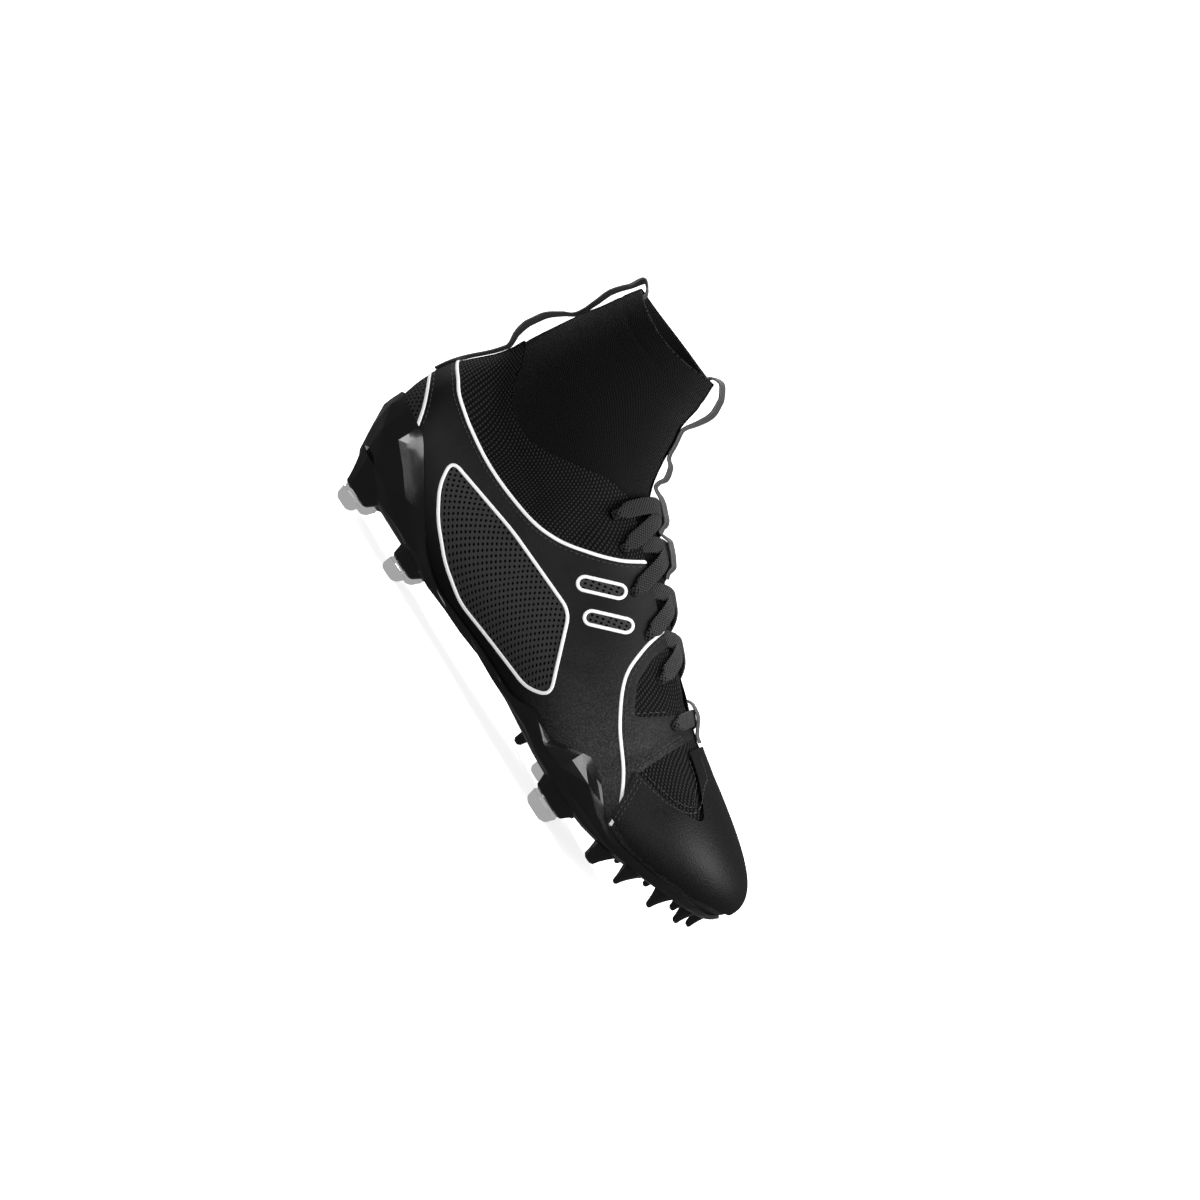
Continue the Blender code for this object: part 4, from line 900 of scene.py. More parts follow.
def inside_by(outline, at):
    """How far inside a closed outline places lie, below nought outside. Both are [point, 2]."""
    best, inside = np.full(len(at), 1e9), np.zeros(len(at), bool)
    for p, q in zip(outline[:-1], outline[1:]):
        d = q - p
        t = np.clip(((at - p) @ d) / (d @ d + 1e-12), 0, 1)
        best = np.minimum(best, np.hypot(*(at - p - t[:, None] * d).T))
        if p[1] != q[1]:
            inside ^= (((p[1] > at[:, 1]) != (q[1] > at[:, 1]))
                       & (at[:, 0] < (q[0] - p[0]) * (at[:, 1] - p[1]) / (q[1] - p[1]) + p[0]))
    return np.where(inside, best, -best)


COLLAR_BAND = ((0.2, 84), (10, 80.5), (24, 75.5), (57, 71), (88, 73), (106, 78.5), (120, 88),
               (131, 98), (138, 108))
QUARTER = ((47, 57.5), (92, 63.5), (139, 65.5), (168, 37), (158, 29), (130, 26.2), (106, 23.5),
           (86, 28), (67, 36.5), (54, 46))
FOREFOOT_LINE = ((169, 97), (172.5, 84), (180, 70), (197, 57), (217, 46.5), (230, 36), (234, 28))
HEEL_ARC = ((0, 70.2), (8, 66.5), (17, 59.5), (24.5, 51))
SLOTS = ((131.5, 78.5, 143, 89.5, 3.3), (147, 72.5, 158.5, 83.5, 3.3))
THROAT_VENT = ((176, 97), (178.5, 84), (184.5, 73.5), (197.5, 64), (207, 80), (200, 97))
VAMP_VENT = ((221, 49), (219.5, 82), (266, 82), (266, 49))


def to_places(line):
    """Side-view points in millimetres as places (u, z) in metres."""
    return np.stack((along(line[:, 0] * MM), line[:, 1] * MM), 1)


def zones(u, z):
    """How far inside the woven mesh and the punched panels places lie, in millimetres."""
    at = np.stack((u, z), 1)
    band = spline(COLLAR_BAND, 3.0)
    mesh = (np.concatenate((band, ((138, 190), (0.2, 190), band[0]))),
            rounded(THROAT_VENT, 2.5, 3.0), rounded(VAMP_VENT, 2, 4.0))
    arc = spline(HEEL_ARC, 2.0)
    punched = (rounded(QUARTER, 6, 3.0), np.concatenate((arc, ((24, 10), (0, 10), arc[0]))),
               *(slot(*row, 1.5) for row in SLOTS))
    return [np.max([inside_by(to_places(line), at) for line in lines], axis=0) / MM
            for lines in (mesh, punched)]


# Soft hollows pressed in: from (x, z) to (x, z), depth and half width, in millimetres
HOLLOWS = ((207, 42, 214, 60, 0.45, 4.5), (196, 46, 200, 58, 0.30, 4.0),
           (228, 44, 238, 56, 0.35, 4.0), (108, 92, 118, 78, 0.50, 5.0),
           (60, 84, 84, 82, 0.45, 4.5), (20, 96, 34, 88, 0.40, 4.0), (150, 50, 166, 60, 0.35, 5.0))


def hollows(u, z):
    """Depth of the soft hollows: each falls off as e^-d^2, d half widths away from its line."""
    depth = np.zeros_like(u)
    for x0, z0, x1, z1, deep, wide in HOLLOWS:
        line = to_places(np.array(((x0, z0), (x1, z1)), float))
        d = line[1] - line[0]
        t = np.clip(((u - line[0, 0]) * d[0] + (z - line[0, 1]) * d[1]) / (d @ d), 0, 1)
        away = np.hypot(u - line[0, 0] - t * d[0], z - line[0, 1] - t * d[1]) / (wide * MM)
        depth += deep * MM * np.exp(-away ** 2)
    return depth


def upper_grid(step, rows):
    """Rays round the shoe and the evened profile points (r, z) of each."""
    rays = both_sides(round_places(step))
    return rays, respaced(rays.profile(), np.linspace(0, 1, rows))


def profile_normals(line):
    """Normals of profiles within their own half-planes: outwards of the way from margin to top."""
    way = unit(np.gradient(line, axis=1))
    return np.stack((way[..., 1], -way[..., 0]), 2)


def eyelet(at, share, side):
    """Centre and outward direction of one eyelet, inset from the opening's edge."""
    rays = Rays(np.array((at * LENGTH,)), side)
    line = rays.ridge_line(400, throat_half(rays.u))[0, ::-1]
    spot = int(np.searchsorted(run_length(line, 0), share * EYELET_INSET))
    centre = rays.place(line[None, spot:spot + 1])[0, 0]
    way = line[spot] - line[spot - 1]
    return centre, unit(np.array((0, side * abs(way[1]), abs(way[0]))))


# Pieces

MESH_SUNK = 0.35 * MM         # how far the woven and the punched panels lie under the plain ones
HOLES_SUNK = 0.22 * MM
LIP = 5 * MM                  # the upper thins towards its edge over this way
COLLAR_TUCK = 0.45 * MM       # the edge turns in by this much at the collar


def make_upper(sizes):
    """The last's profiles, sunk a little under the panels and the hollows, are the outer skin;
    the inner one lies a wall further in, thinned by a smooth step towards the opening's edge."""
    rays, line = upper_grid(1.3 * MM, 96)
    u = np.broadcast_to(rays.u[:, None], line.shape[:2])
    shut = rays.u >= THROAT_END * LENGTH - 1e-7
    mesh_zone, hole_zone = (zone.reshape(u.shape) for zone in zones(u.ravel(), line[..., 1].ravel()))
    normal = profile_normals(line)
    normal[shut, -1] = (0, 1)
    run = run_length(line)
    lip = 1 - smooth_step(np.where(shut[:, None], 1.0, run[:, -1:] - run), 0, LIP)
    tuck = COLLAR_TUCK * lip ** 2 * rays.collared[:, None]
    sunk = (MESH_SUNK * smooth_step(mesh_zone, -0.6, 0.5)
            + HOLES_SUNK * smooth_step(hole_zone, -0.5, 0.4)) * (1 - lip)
    sunk += hollows(u, line[..., 1]) * smooth_step(line[..., 1], 28 * MM, 40 * MM) + tuck
    outer = line - normal * sunk[..., None]
    inner = line - normal * (UPPER_WALL - (UPPER_WALL - LIP_WALL) * lip + tuck)[..., None]
    inner[..., 0] = np.maximum(inner[..., 0], 0)
    inner[shut, -1, 0] = 0
    outer, inner = rays.place(outer), rays.place(inner)
    points, faces = wall_between(outer, inner, around=True, sealed=shut)
    piece = new_piece("upper_panels", points, faces, upper_look(sizes),
                      surface_place(outer, around=True), mesh_zone=mesh_zone, hole_zone=hole_zone)
    bm = bmesh.new()
    for at, share in EYELETS:
        for side in (-1, 1):
            centre, out = eyelet(at, share, side)
            turn = Vector((0, 0, 1)).rotation_difference(Vector(out)).to_matrix().to_4x4()
            bmesh.ops.create_cone(bm, cap_ends=True, segments=28, radius1=EYELET_RADIUS,
                                  radius2=EYELET_RADIUS, depth=4 * UPPER_WALL,
                                  matrix=Matrix.Translation(Vector(centre)) @ turn)
    boolean(piece, mesh_piece("eyelet_punches", bm), "DIFFERENCE")
    finish_piece(piece, ["upper"], sharp=50)


def mesh_piece(name, bm):
    """A working object from a bmesh, which is freed."""
    mesh = bpy.data.meshes.new(name)
    bm.to_mesh(mesh)
    bm.free()
    return linked(name, mesh)


def on_skin(line, side, lift):
    """Side-view points on the shoe's surface, with the outward normals."""
    u, z = to_places(line).T
    return skin_points(u, z, side, lift)


EDGING_HALF = 0.85 * MM, 0.42 * MM        # half sizes of the edging's section


def make_edging():
    """White cords swept along the panels' outlines, on both sides of the shoe."""
    lines = [(spline(line, 0.8), False) for line in (COLLAR_BAND, FOREFOOT_LINE, HEEL_ARC)]
    lines.insert(1, (rounded(QUARTER, 6, 0.8), True))
    lines += [(slot(*row, 0.7), True) for row in SLOTS]
    bodies = []
    for line, closed in lines:
        for side in (-1, 1):
            points, normals = on_skin(line[:-1] if closed else line, side, 0.02 * MM)
            bodies.append(sweep(points[None], normals[None], *EDGING_HALF, 10, 3.0, closed))
    points, faces, _place = joined(bodies)
    # Painted glow: the edging shines a little of its own light, to stay bright.
    look = plain_look("white_edging", (0.96, 0.96, 0.96), 0.5, Specular_IOR_Level=0.4,
                      Emission_Color=WHITE, Emission_Strength=0.2)
    finish_piece(new_piece("panel_edging", points, faces, look, weld=0))


FOLD = 0.28 * MM, 9.5 * MM, 1.1 * MM     # the hem under the rim: depth, way down, half width
RIM_DIP = 3.4 * MM, 2.5 * MM             # how far the rim dips at the sides, and how unevenly


def make_sock(colour):
    """Level ellipses from inside the collar up to the leaning rim, tucked in under the collar's
    seam. The wall turns over at the rim in a half circle, and a box trims the sock in front."""
    angles = np.linspace(0, 2 * pi, 200, endpoint=False) + pi
    rim = sock_rim(np.cos(angles))
    rim -= (RIM_DIP[0] - RIM_DIP[1] * np.sin(angles)) * np.sin(angles) ** 2
    seam = np.full_like(rim, INSTEP_TOP - 0.35 * SHAFT_RISE)
    for _ in range(14):
        back, front, _half = sock_slice(seam)
        there = collar_height((back + front) / 2 + (front - back) / 2 * np.cos(angles))
        seam += 0.6 * (there - seam)
    low = seam - 8 * MM
    z = low[:, None] + (rim - low)[:, None] * np.linspace(0, 1, 96)[None, :]
    back, front, half = sock_slice(z)
    inset = 2.8 * MM * smooth_step(seam[:, None] - z, -0.6 * MM, 3.2 * MM)
    x = (back + front) / 2 + ((front - back) / 2 - inset) * np.cos(angles)[:, None]
    y = (half - inset) * np.sin(angles)[:, None]
    outer = np.stack((x - LENGTH / 2, y, z), 2)
    normal = grid_normals(outer, around=True)
    middle = np.array(((0.09 - 0.5) * LENGTH, 0, 0))
    normal *= np.sign(np.einsum("cra,cra->cr", normal, (outer - middle) * (1, 1, 0)))[..., None]
    place = surface_place(outer, around=True)
    deep, down, wide = FOLD
    fold = deep * np.exp(-((z - rim[:, None] + down) / wide) ** 2)
    outer -= normal * fold[..., None]
    turn = np.linspace(0, pi, 9)[None, 1:-1, None]
    rim_line = (outer[:, -1:] - normal[:, -1:] * SOCK_WALL / 2 * (1 - np.cos(turn))
                + np.array((0, 0, 1.0)) * SOCK_WALL / 2 * np.sin(turn))
    inner = (outer - normal * (SOCK_WALL - fold)[..., None])[:, ::-1]
    rows = np.concatenate((outer, rim_line, inner), 1)
    shown = np.concatenate((place, np.repeat(place[:, -1:], 7, 1), place[:, ::-1]), 1)
    faces = grid_faces(len(rows), rows.shape[1], round_rows=True, round_columns=True)
    points = rows.reshape(-1, 3)
    piece = new_piece("knit_sock", points, outward(points, faces),
                      knit_look("sock_knit", colour, 1.35, 1.0), shown)
    box = bmesh.new()
    bmesh.ops.create_cube(box, size=LENGTH)
    bmesh.ops.translate(box, verts=box.verts, vec=(SEAM_X, 0, INSTEP_TOP))
    boolean(piece, mesh_piece("sock_trim", box), "DIFFERENCE")
    finish_piece(piece, ["ankle_sock"], sharp=60)


class Instep:
    """The closed instep over the throat, as a height over (x, y)."""

    def __init__(self):
        self.xs = np.linspace(0.30 * LENGTH, 0.80 * LENGTH, 160)
        self.ys = np.linspace(-0.85 * HALF, 0.85 * HALF, 161)
        self.heights = np.empty((len(self.xs), len(self.ys)))
        for side in (-1, 1):
            line = Rays(self.xs, side).ridge_line(160)
            on = self.ys * side >= 0
            at = np.broadcast_to(-np.abs(self.ys[on]), (len(self.xs), on.sum()))
            self.heights[:, on] = row_interp(at, -line[..., 0], line[..., 1])

    def height(self, x, y):
        """The four heights about a place, weighted by how near they are."""
        i = np.clip((x - self.xs[0]) / (self.xs[1] - self.xs[0]), 0, 158.999)
        j = np.clip((y - self.ys[0]) / (self.ys[1] - self.ys[0]), 0, 159.999)
        a, b = i.astype(int), j.astype(int)
        s, t, h = i - a, j - b, self.heights
        return ((1 - s) * ((1 - t) * h[a, b] + t * h[a, b + 1])
                + s * ((1 - t) * h[a + 1, b] + t * h[a + 1, b + 1]))

    def point(self, x, y, lift):
        """Points at this lift above the surface, and its normals from the two slopes."""
        d = 1.5 * MM
        normal = unit(np.stack((-(self.height(x + d, y) - self.height(x - d, y)) / (2 * d),
                                -(self.height(x, y + d) - self.height(x, y - d)) / (2 * d),
                                np.ones_like(x)), 1))
        at = np.stack((x - LENGTH / 2, y, self.height(x, y)), 1)
        return at + normal * np.broadcast_to(lift, x.shape)[:, None], normal


INSTEP = Instep()


def make_tongue(colour):
    """The instep's ridge lines from a little beside the throat to the middle, lowered by the
    upper's wall, with a second skin a tongue's wall below them."""
    start = SEAM_X + GAP
    xs = np.linspace(start, 0.745 * LENGTH, 130)
    halves = []
    for side in (-1, 1):
        rays = Rays(xs, side)
        out = np.maximum(HALF * read(THROAT, xs / LENGTH), 0.06 * HALF) + 8 * MM
        line = respaced(rays.ridge_line(160), np.linspace(0, 1, 300))
        r = out[:, None] * np.linspace(1, 0, 30)[None, :]
        z = row_interp(-r, -line[..., 0], line[..., 1])
        halves.append(rays.place(np.stack((r, z), 2)))
    sheet = np.concatenate((halves[0], halves[1][:, -2::-1]), 1)
    normal = grid_normals(sheet)
    normal *= np.sign(normal[..., 2:])
    top = UPPER_WALL + GAP + TUCK_GAP
    thin = 1 - 0.35 * np.abs(np.linspace(-1, 1, sheet.shape[1]))[None, :, None] ** 8
    walls = [sheet - normal * top, sheet - normal * (top + TONGUE_WALL * thin)]
    for grid in walls:
        grid[..., 0] = np.maximum(grid[..., 0], start - LENGTH / 2)
    piece = new_piece("tongue_knit", *wall_between(*walls),
                      knit_look("tongue_knit", colour, 1.5, 1.1), surface_place(sheet))
    finish_piece(piece, ["tongue"], sharp=50)


INSOLE_RIM = 0.9 * MM         # how far the insole's edge rises


def make_insole(colour):
    """A sheet over the last's flat bottom, as far out as its corner, where its upper side rises
    by a smooth step."""
    rays = both_sides(round_places(2.5 * MM))
    share = np.linspace(1, 0, 22)[None, :]
    r = rays.corner_start[:, None] * share
    rise = INSOLE_RIM * smooth_step(share, 0.78, 1.0)
    z = bottom(rays.x[:, None] + rays.dx[:, None] * r) + UPPER_WALL + GAP + 2 * TUCK_GAP + rise
    sheet = rays.place(np.stack((r, z), 2))
    outer, inner = sheet + (0, 0, INSOLE_WALL - INSOLE_RIM), sheet.copy()
    inner[..., 2] -= rise
    points, faces = wall_between(outer, inner, around=True, sealed=np.ones(len(r), bool))
    piece = new_piece("footbed_knit", points, faces, knit_look("footbed_knit", colour, 1.2, 0.9),
                      surface_place(outer, around=True))
    finish_piece(piece, ["insole"])


# The toe overlay and the stitching

OVERLAY_REAR = ((231, 30.7), (225, 42.9), (219.9, 51.8))
OVERLAY_NOTCH = ((219.9, 51.8), (238.4, 56.1), (251.5, 60.9), (255.4, 64.2), (250.5, 67.4),
                 (236.9, 72.6), (224.7, 75.6))
OVERLAY_LOW = ((313, 49.5), (293.5, 45.2), (284.6, 40.9), (274.2, 38.0), (260.8, 33.3),
               (245.9, 30.0), (231, 30.7))


def prism(name, outline):
    """A side-view outline in millimetres, extruded across the shoe."""
    bm = bmesh.new()
    rings = [[bm.verts.new((x * MM - LENGTH / 2, y, z * MM)) for x, z in outline]
             for y in (-BALL_WIDTH, BALL_WIDTH)]
    bm.faces.new(rings[0][::-1])
    bm.faces.new(rings[1])
    for a, b, c, d in zip(rings[0], rings[0][1:] + rings[0][:1], rings[1][1:] + rings[1][:1],
                          rings[1]):
        bm.faces.new((a, b, c, d))
    bmesh.ops.recalc_face_normals(bm, faces=bm.faces)
    return mesh_piece(name, bm)


def make_overlay(colour):
    """The toe's profiles lifted off the last by a gap, and again by the overlay's wall, cut to
    their outline in the side view."""
    u = round_places(1.0 * MM)
    rays = both_sides(u[u >= THROAT_END * LENGTH - 1e-9], closed=False)
    line = respaced(rays.profile(), np.linspace(0.05, 1, 120))
    normal = profile_normals(line)
    normal[:, -1] = (0, 1)
    walls = []
    for lift in (BED_GAP + OVERLAY_WALL, BED_GAP):
        skin = line + normal * lift
        skin[:, -1, 0] = 0
        walls.append(rays.place(np.maximum(skin, (0, -1))))
    points, faces = wall_between(*walls, sealed=np.ones(len(rays.u), bool))
    piece = new_piece("grained_toe", points, faces,
                      grain_look("grained_leather", colour, 0.6, 0.10 * MM, 0.5))
    outline = np.concatenate((spline(OVERLAY_REAR)[:-1], spline(OVERLAY_NOTCH)[:-1],
                              ((224.7, 75.6), (224.7, 100), (313, 100)), spline(OVERLAY_LOW)[:-1]))
    boolean(piece, prism("toe_outline", outline), "INTERSECT")
    finish_piece(piece, ["toe_overlay"], sharp=40)


def beside(line, away):
    """A side-view path moved sideways: to its left for a positive distance."""
    way = unit(np.gradient(line, axis=0))
    return line + np.stack((-way[:, 1], way[:, 0]), 1) * away


# Rows of stitches: the seam, how far beside it and how high, in millimetres
VAMP_SEAM = ((220.5, 53), (219, 79))
STITCH_ROWS = (
    (OVERLAY_REAR, -1.7, 1.45), (OVERLAY_REAR, -3.6, 1.45), (OVERLAY_NOTCH, 1.7, 0.05),
    (OVERLAY_NOTCH, -1.7, 1.45), (((196.5, 62.5), (206, 79)), 1.6, 0.05), (VAMP_SEAM, 1.6, 0.05),
    (VAMP_SEAM, 3.2, 0.05), (COLLAR_BAND, -2.4, 0.05), (HEEL_ARC, 2.4, 0.05),
    (FOREFOOT_LINE, 2.3, 0.05),
)
# A stitch has five points a step apart, and the one between two stitches stays bare
STITCH_STEP, STITCH_POINTS = 0.45, 5
STITCH_ARCH = -0.14 * MM, 0.06 * MM, 0.12 * MM, 0.06 * MM, -0.14 * MM


def make_stitches():
    """Single stitches as small arched bodies, in rows beside the seams on both sides."""
    bodies = []
    for seam, away, lift in STITCH_ROWS:
        line = even_path(beside(spline(seam, 0.5), away), STITCH_STEP)
        count = (len(line) - STITCH_POINTS) // (STITCH_POINTS + 1)
        index = np.arange(count)[:, None] * (STITCH_POINTS + 1) + np.arange(STITCH_POINTS)
        for side in (-1, 1):
            points, normals = on_skin(line, side, lift * MM)
            centres = points[index] + normals[index] * np.array(STITCH_ARCH)[None, :, None]
            bodies.append(sweep(centres, normals[index], 0.24 * MM, 0.17 * MM, 6))
    points, faces, _place = joined(bodies)
    look = Look("thread", Roughness=0.6, Base_Color=(0.035, 0.035, 0.037, 1))
    finish_piece(new_piece("stitching", points, faces, look.material, weld=0))


# The plate, its studs and their tips

class Stud:
    """One stud between its tip and its root: x from the heel, inward from the middle line."""

    def __init__(self, x, inward, tip, root, shift, foot, rise, bright=False, turn=0.0):
        self.tip_at = np.array((x - LENGTH / 2, inward + float(swing(x)), foot))
        root_x, root_y = x + shift[0], self.tip_at[1] + shift[1]
        self.root_at = np.array((root_x - LENGTH / 2, root_y, float(bottom(root_x)) + rise))
        self.tip, self.root, self.bright, self.turn = np.array(tip), np.array(root), bright, turn

    def ring(self, z, shape, grow=1.0):
        """The outline shape set at height z: its centre moves straight from tip to root, and its
        size grows with a power of the share of the way."""
        t = (z - self.tip_at[2]) / (self.root_at[2] - self.tip_at[2])
        x, y, _z = self.tip_at + (self.root_at - self.tip_at) * t
        across, out = (shape * (self.tip + (self.root - self.tip) * max(t, 0) ** FLARE) / 2 * grow).T
        c, s = cos(self.turn), sin(self.turn)
        return np.column_stack((x + across * c - out * s, y + across * s + out * c,
                                np.full(len(shape), z)))


# Studs: at is a share of LENGTH; inward, the sizes of tip and root along and across, and the
# root's shift on and out are shares of half the ball width; drop is one of STUD_HEIGHT, and
# nought for the studs that stand on the ground.
STUD_TABLE = (
    (0.1074, -0.365, 0.229, 0.156, 0.750, 0.458, 0.021, -0.021, 0),
    (0.1074, 0.365, 0.229, 0.156, 0.750, 0.458, 0.021, 0.021, 0),
    (0.2450, -0.396, 0.229, 0.156, 0.667, 0.417, 0.083, -0.021, 0),
    (0.2450, 0.396, 0.229, 0.156, 0.667, 0.417, 0.083, 0.021, 0),
    (0.6980, -0.750, 0.312, 0.188, 0.792, 0.458, 0.021, 0, 0),
    (0.6376, 0.708, 0.229, 0.146, 0.500, 0.354, 0.021, 0, 0),
    (0.5738, 0.625, 0.094, 0.073, 0.417, 0.292, 0.021, 0, 1.225),
    (0.7181, 0.771, 0.125, 0.104, 0.458, 0.333, 0, 0, 1.065),
    (0.8087, -0.750, 0.135, 0.104, 0.500, 0.333, 0, 0, 0.891),
)
# Studs round the toe: angle from its tip, inset from the edge, and size of the root
TOE_STUDS = ((-65, 0.187, 0.396), (-40, 0.177, 0.354), (-17, 0.167, 0.292), (6, 0.125, 0.250),
             (30, 0.167, 0.312), (55, 0.177, 0.354), (80, 0.187, 0.396))
TOE_STUD_TIP = 0.067 * HALF, 0.050 * HALF
TOE_STUD_LEAN = -0.0625       # their roots' way outwards, as a share of half the ball width
FLARE = 1.5                   # the power by which a stud widens towards its root


def all_studs():
    """The studs of both tables. Those round the toe stand on circles about the toe's centre."""
    studs = []
    for at, inward, tip, tip_wide, root, root_wide, on, out, drop in STUD_TABLE:
        x = at * LENGTH
        foot = float(bottom(x)) - drop * STUD_HEIGHT if drop else 0.0
        studs.append(Stud(x, inward * HALF, (tip * HALF, tip_wide * HALF),
                          (root * HALF, root_wide * HALF), (on * HALF, out * HALF), foot,
                          8 * MM, bright=not drop))
    for angle, inset, root in TOE_STUDS:
        a = radians(angle)
        side = -1 if angle < 0 else 1
        u = TOE_X + TOE_CENTRE * (1 - abs(angle) / 90)
        out = float(Rays(np.array((u,)), side).reach[0]) - inset * HALF
        x = TOE_X + cos(a) * out
        lean = TOE_STUD_LEAN * HALF
        studs.append(Stud(x, sin(a) * out, TOE_STUD_TIP,
                          (root * HALF, 0.8 * root * HALF), (lean * cos(a), lean * sin(a)),
                          float(bottom(x)) - 13 * MM, 3.5 * MM, turn=a))
    return studs


def facet_shape(cut=0.56, soft=0.10):
    """An oblong with cut corners, each corner softened by two points; half sizes are 1."""
    corners = np.array(((1, -cut * 0.8), (1, cut * 0.8), (cut, 1), (-cut, 1), (-1, cut * 0.8),
                        (-1, -cut * 0.8), (-cut, -1), (cut, -1)), float)
    both = [corners + (np.roll(corners, step, 0) - corners) * soft for step in (1, -1)]
    return np.stack(both, 1).reshape(-1, 2)


def loft(name, rings, look=None):
    """A closed body through rings of points, its two ends drawn together to a point."""
    ends = [np.broadcast_to(ring.mean(0), ring.shape) for ring in (rings[0], rings[-1])]
    rows = np.stack((ends[0], *rings, ends[1]))
    points = rows.reshape(-1, 3)
    faces = grid_faces(len(rows), rows.shape[1], round_columns=True)
    return new_piece(name, points, outward(points, faces), look, weld=FINE_WELD)


def stud_body(stud):
    """A loft of cut-cornered rings from above the tip, where it is drawn in, up to the root."""
    shape = facet_shape()
    low = stud.tip_at[2] + (TIP_HEIGHT + GAP if stud.bright else 0)
    high = stud.root_at[2]
    rings = [stud.ring(low, shape, 0.86 if stud.bright else 0.55)]
    rings += [stud.ring(low + (high - low) * t, shape)
              for t in (0.05, 0.18, 0.34, 0.5, 0.66, 0.82, 1.0)]
    return loft("stud", rings)


# Heights of a tip's rings in millimetres, and the tips in the order of the stud table
TIP_STEPS = 0.0, 0.08, 0.3, 0.7, 1.3, 2.2, 4.0, 5.6, 6.3, 6.7, 7.1, 7.5
TIP_NAMES = ("heel_rear_outer", "heel_rear_inner", "heel_front_outer", "heel_front_inner",
             "ball_outer", "ball_inner")


def make_tips():
    """Bright tips: lofts of superellipses, with a rounded foot and a turned-in neck."""
    # Painted glow: the chrome shines a little of its own light, in place of the bright reflections it
    # lacks.
    look = Look("chrome_tip", Metallic=1.0, Base_Color=(0.9, 0.9, 0.91, 1),
                Emission_Color=WHITE, Emission_Strength=0.28)
    look.put("Roughness", 0.06 + look.noise(0.8, 3.0) * 0.10)
    z = np.array(TIP_STEPS)
    grow = (1 - 0.34 * (1 - np.minimum(z / 2.2, 1)) ** 2) * (1 - 0.10 * smooth_step(z, 6.2, 6.8))
    parts = [loft("tip", [stud.ring(step * MM, round_shape(40, 2.7), size)
                          for step, size in zip(TIP_STEPS, grow)], look.material)
             for stud in STUDS if stud.bright]
    with bpy.context.temp_override(active_object=parts[0], selected_editable_objects=parts):
        bpy.ops.object.join()
    parts[0].name = "bright_tips"
    finish_piece(parts[0], [f"tip_{name}" for name in TIP_NAMES], sharp=45)


# The plate's wall at its eight rows of knots, as shares, and how far the knots of rows 4 to 6
# stand out on even and on odd columns, in millimetres
PLATE_SHARES = (1.0, 1.0, 1.0, 0.85, 0.85, 1.0, 0.75, 0.45)
FACET_BULGE = ((0.35, 0.15, 1.0), (-0.25, 0.75, 0.35))
FACET_PARTS = 4


def plate_line(rays, shares):
    """The plate's profile (r, z) under and beside the last, without its walls: rows 0 to 2 run
    over the flat bottom and rows 2 to 7 up the side to the rim. shares are row numbers."""
    line = np.concatenate((rays.corner_line(60)[:, :-1], rays.profile()[:, 40:]), 1)
    line = respaced(line, np.linspace(0, 1, 260))
    x_rim = (rays.x + rays.dx * rays.reach) / LENGTH
    top = rays.floor + CUP_HEIGHT * read(RIM, x_rim)
    climb = line[..., 1] + np.arange(260) * 1e-9
    end = row_interp(top[:, None], climb, np.broadcast_to(np.linspace(0, 1, 260), climb.shape))
    crease = read(CREASE, x_rim)[:, None]
    knots = np.concatenate((0 * crease, crease / 3, 2 * crease / 3, crease, (1 + crease) / 2,
                            0 * crease + 1), 1)
    cup = np.array([s for s in shares if s >= 2]) - 2
    at = row_interp(np.broadcast_to(cup, (len(crease), len(cup))),
                    np.broadcast_to(np.arange(6.0), knots.shape), knots) * end
    side = respaced(line, at)
    flat = np.array([s for s in shares if s < 2]) / 2
    r = rays.corner_start[:, None] * flat[None, :]
    floor = np.stack((r, bottom(rays.x[:, None] + rays.dx[:, None] * r)), 2)
    return np.concatenate((floor, side), 1)


def plate_skin(rays, rows, lift):
    """The plate's profiles moved along their normals by lift: straight down under the bottom."""
    line = plate_line(rays, rows)
    normal = profile_normals(line)
    normal[:, np.asarray(rows) <= 2] = (0, -1)
    return rays.place(line + normal * lift[..., None])


def facets(nodes, columns, rows):
    """Points on flat triangles between the knots, FACET_PARTS to a cell. A cell's diagonal turns
    from one cell to the next, and a point is weighted from the knots of its own half. Also
    returns which cells have their diagonal from the first knot."""
    i, j = np.arange(columns) // FACET_PARTS, np.minimum(np.arange(len(rows)) // FACET_PARTS, 6)
    s = (np.arange(columns) / FACET_PARTS - i)[:, None, None]
    t = (rows - j)[None, :, None]
    after = (i + 1) % len(nodes)
    n00, n10 = nodes[i][:, j], nodes[after][:, j]
    n01, n11 = nodes[i][:, j + 1], nodes[after][:, j + 1]
    one = np.where(s >= t, n00 + s * (n10 - n00) + t * (n11 - n10),
                   n00 + t * (n01 - n00) + s * (n11 - n01))
    two = np.where(s + t <= 1, n00 + s * (n10 - n00) + t * (n01 - n00),
                   n11 + (1 - s) * (n01 - n11) + (1 - t) * (n10 - n11))
    first = (i[:, None] + j[None, :]) % 2 == 0
    return np.where(first[..., None], one, two), first


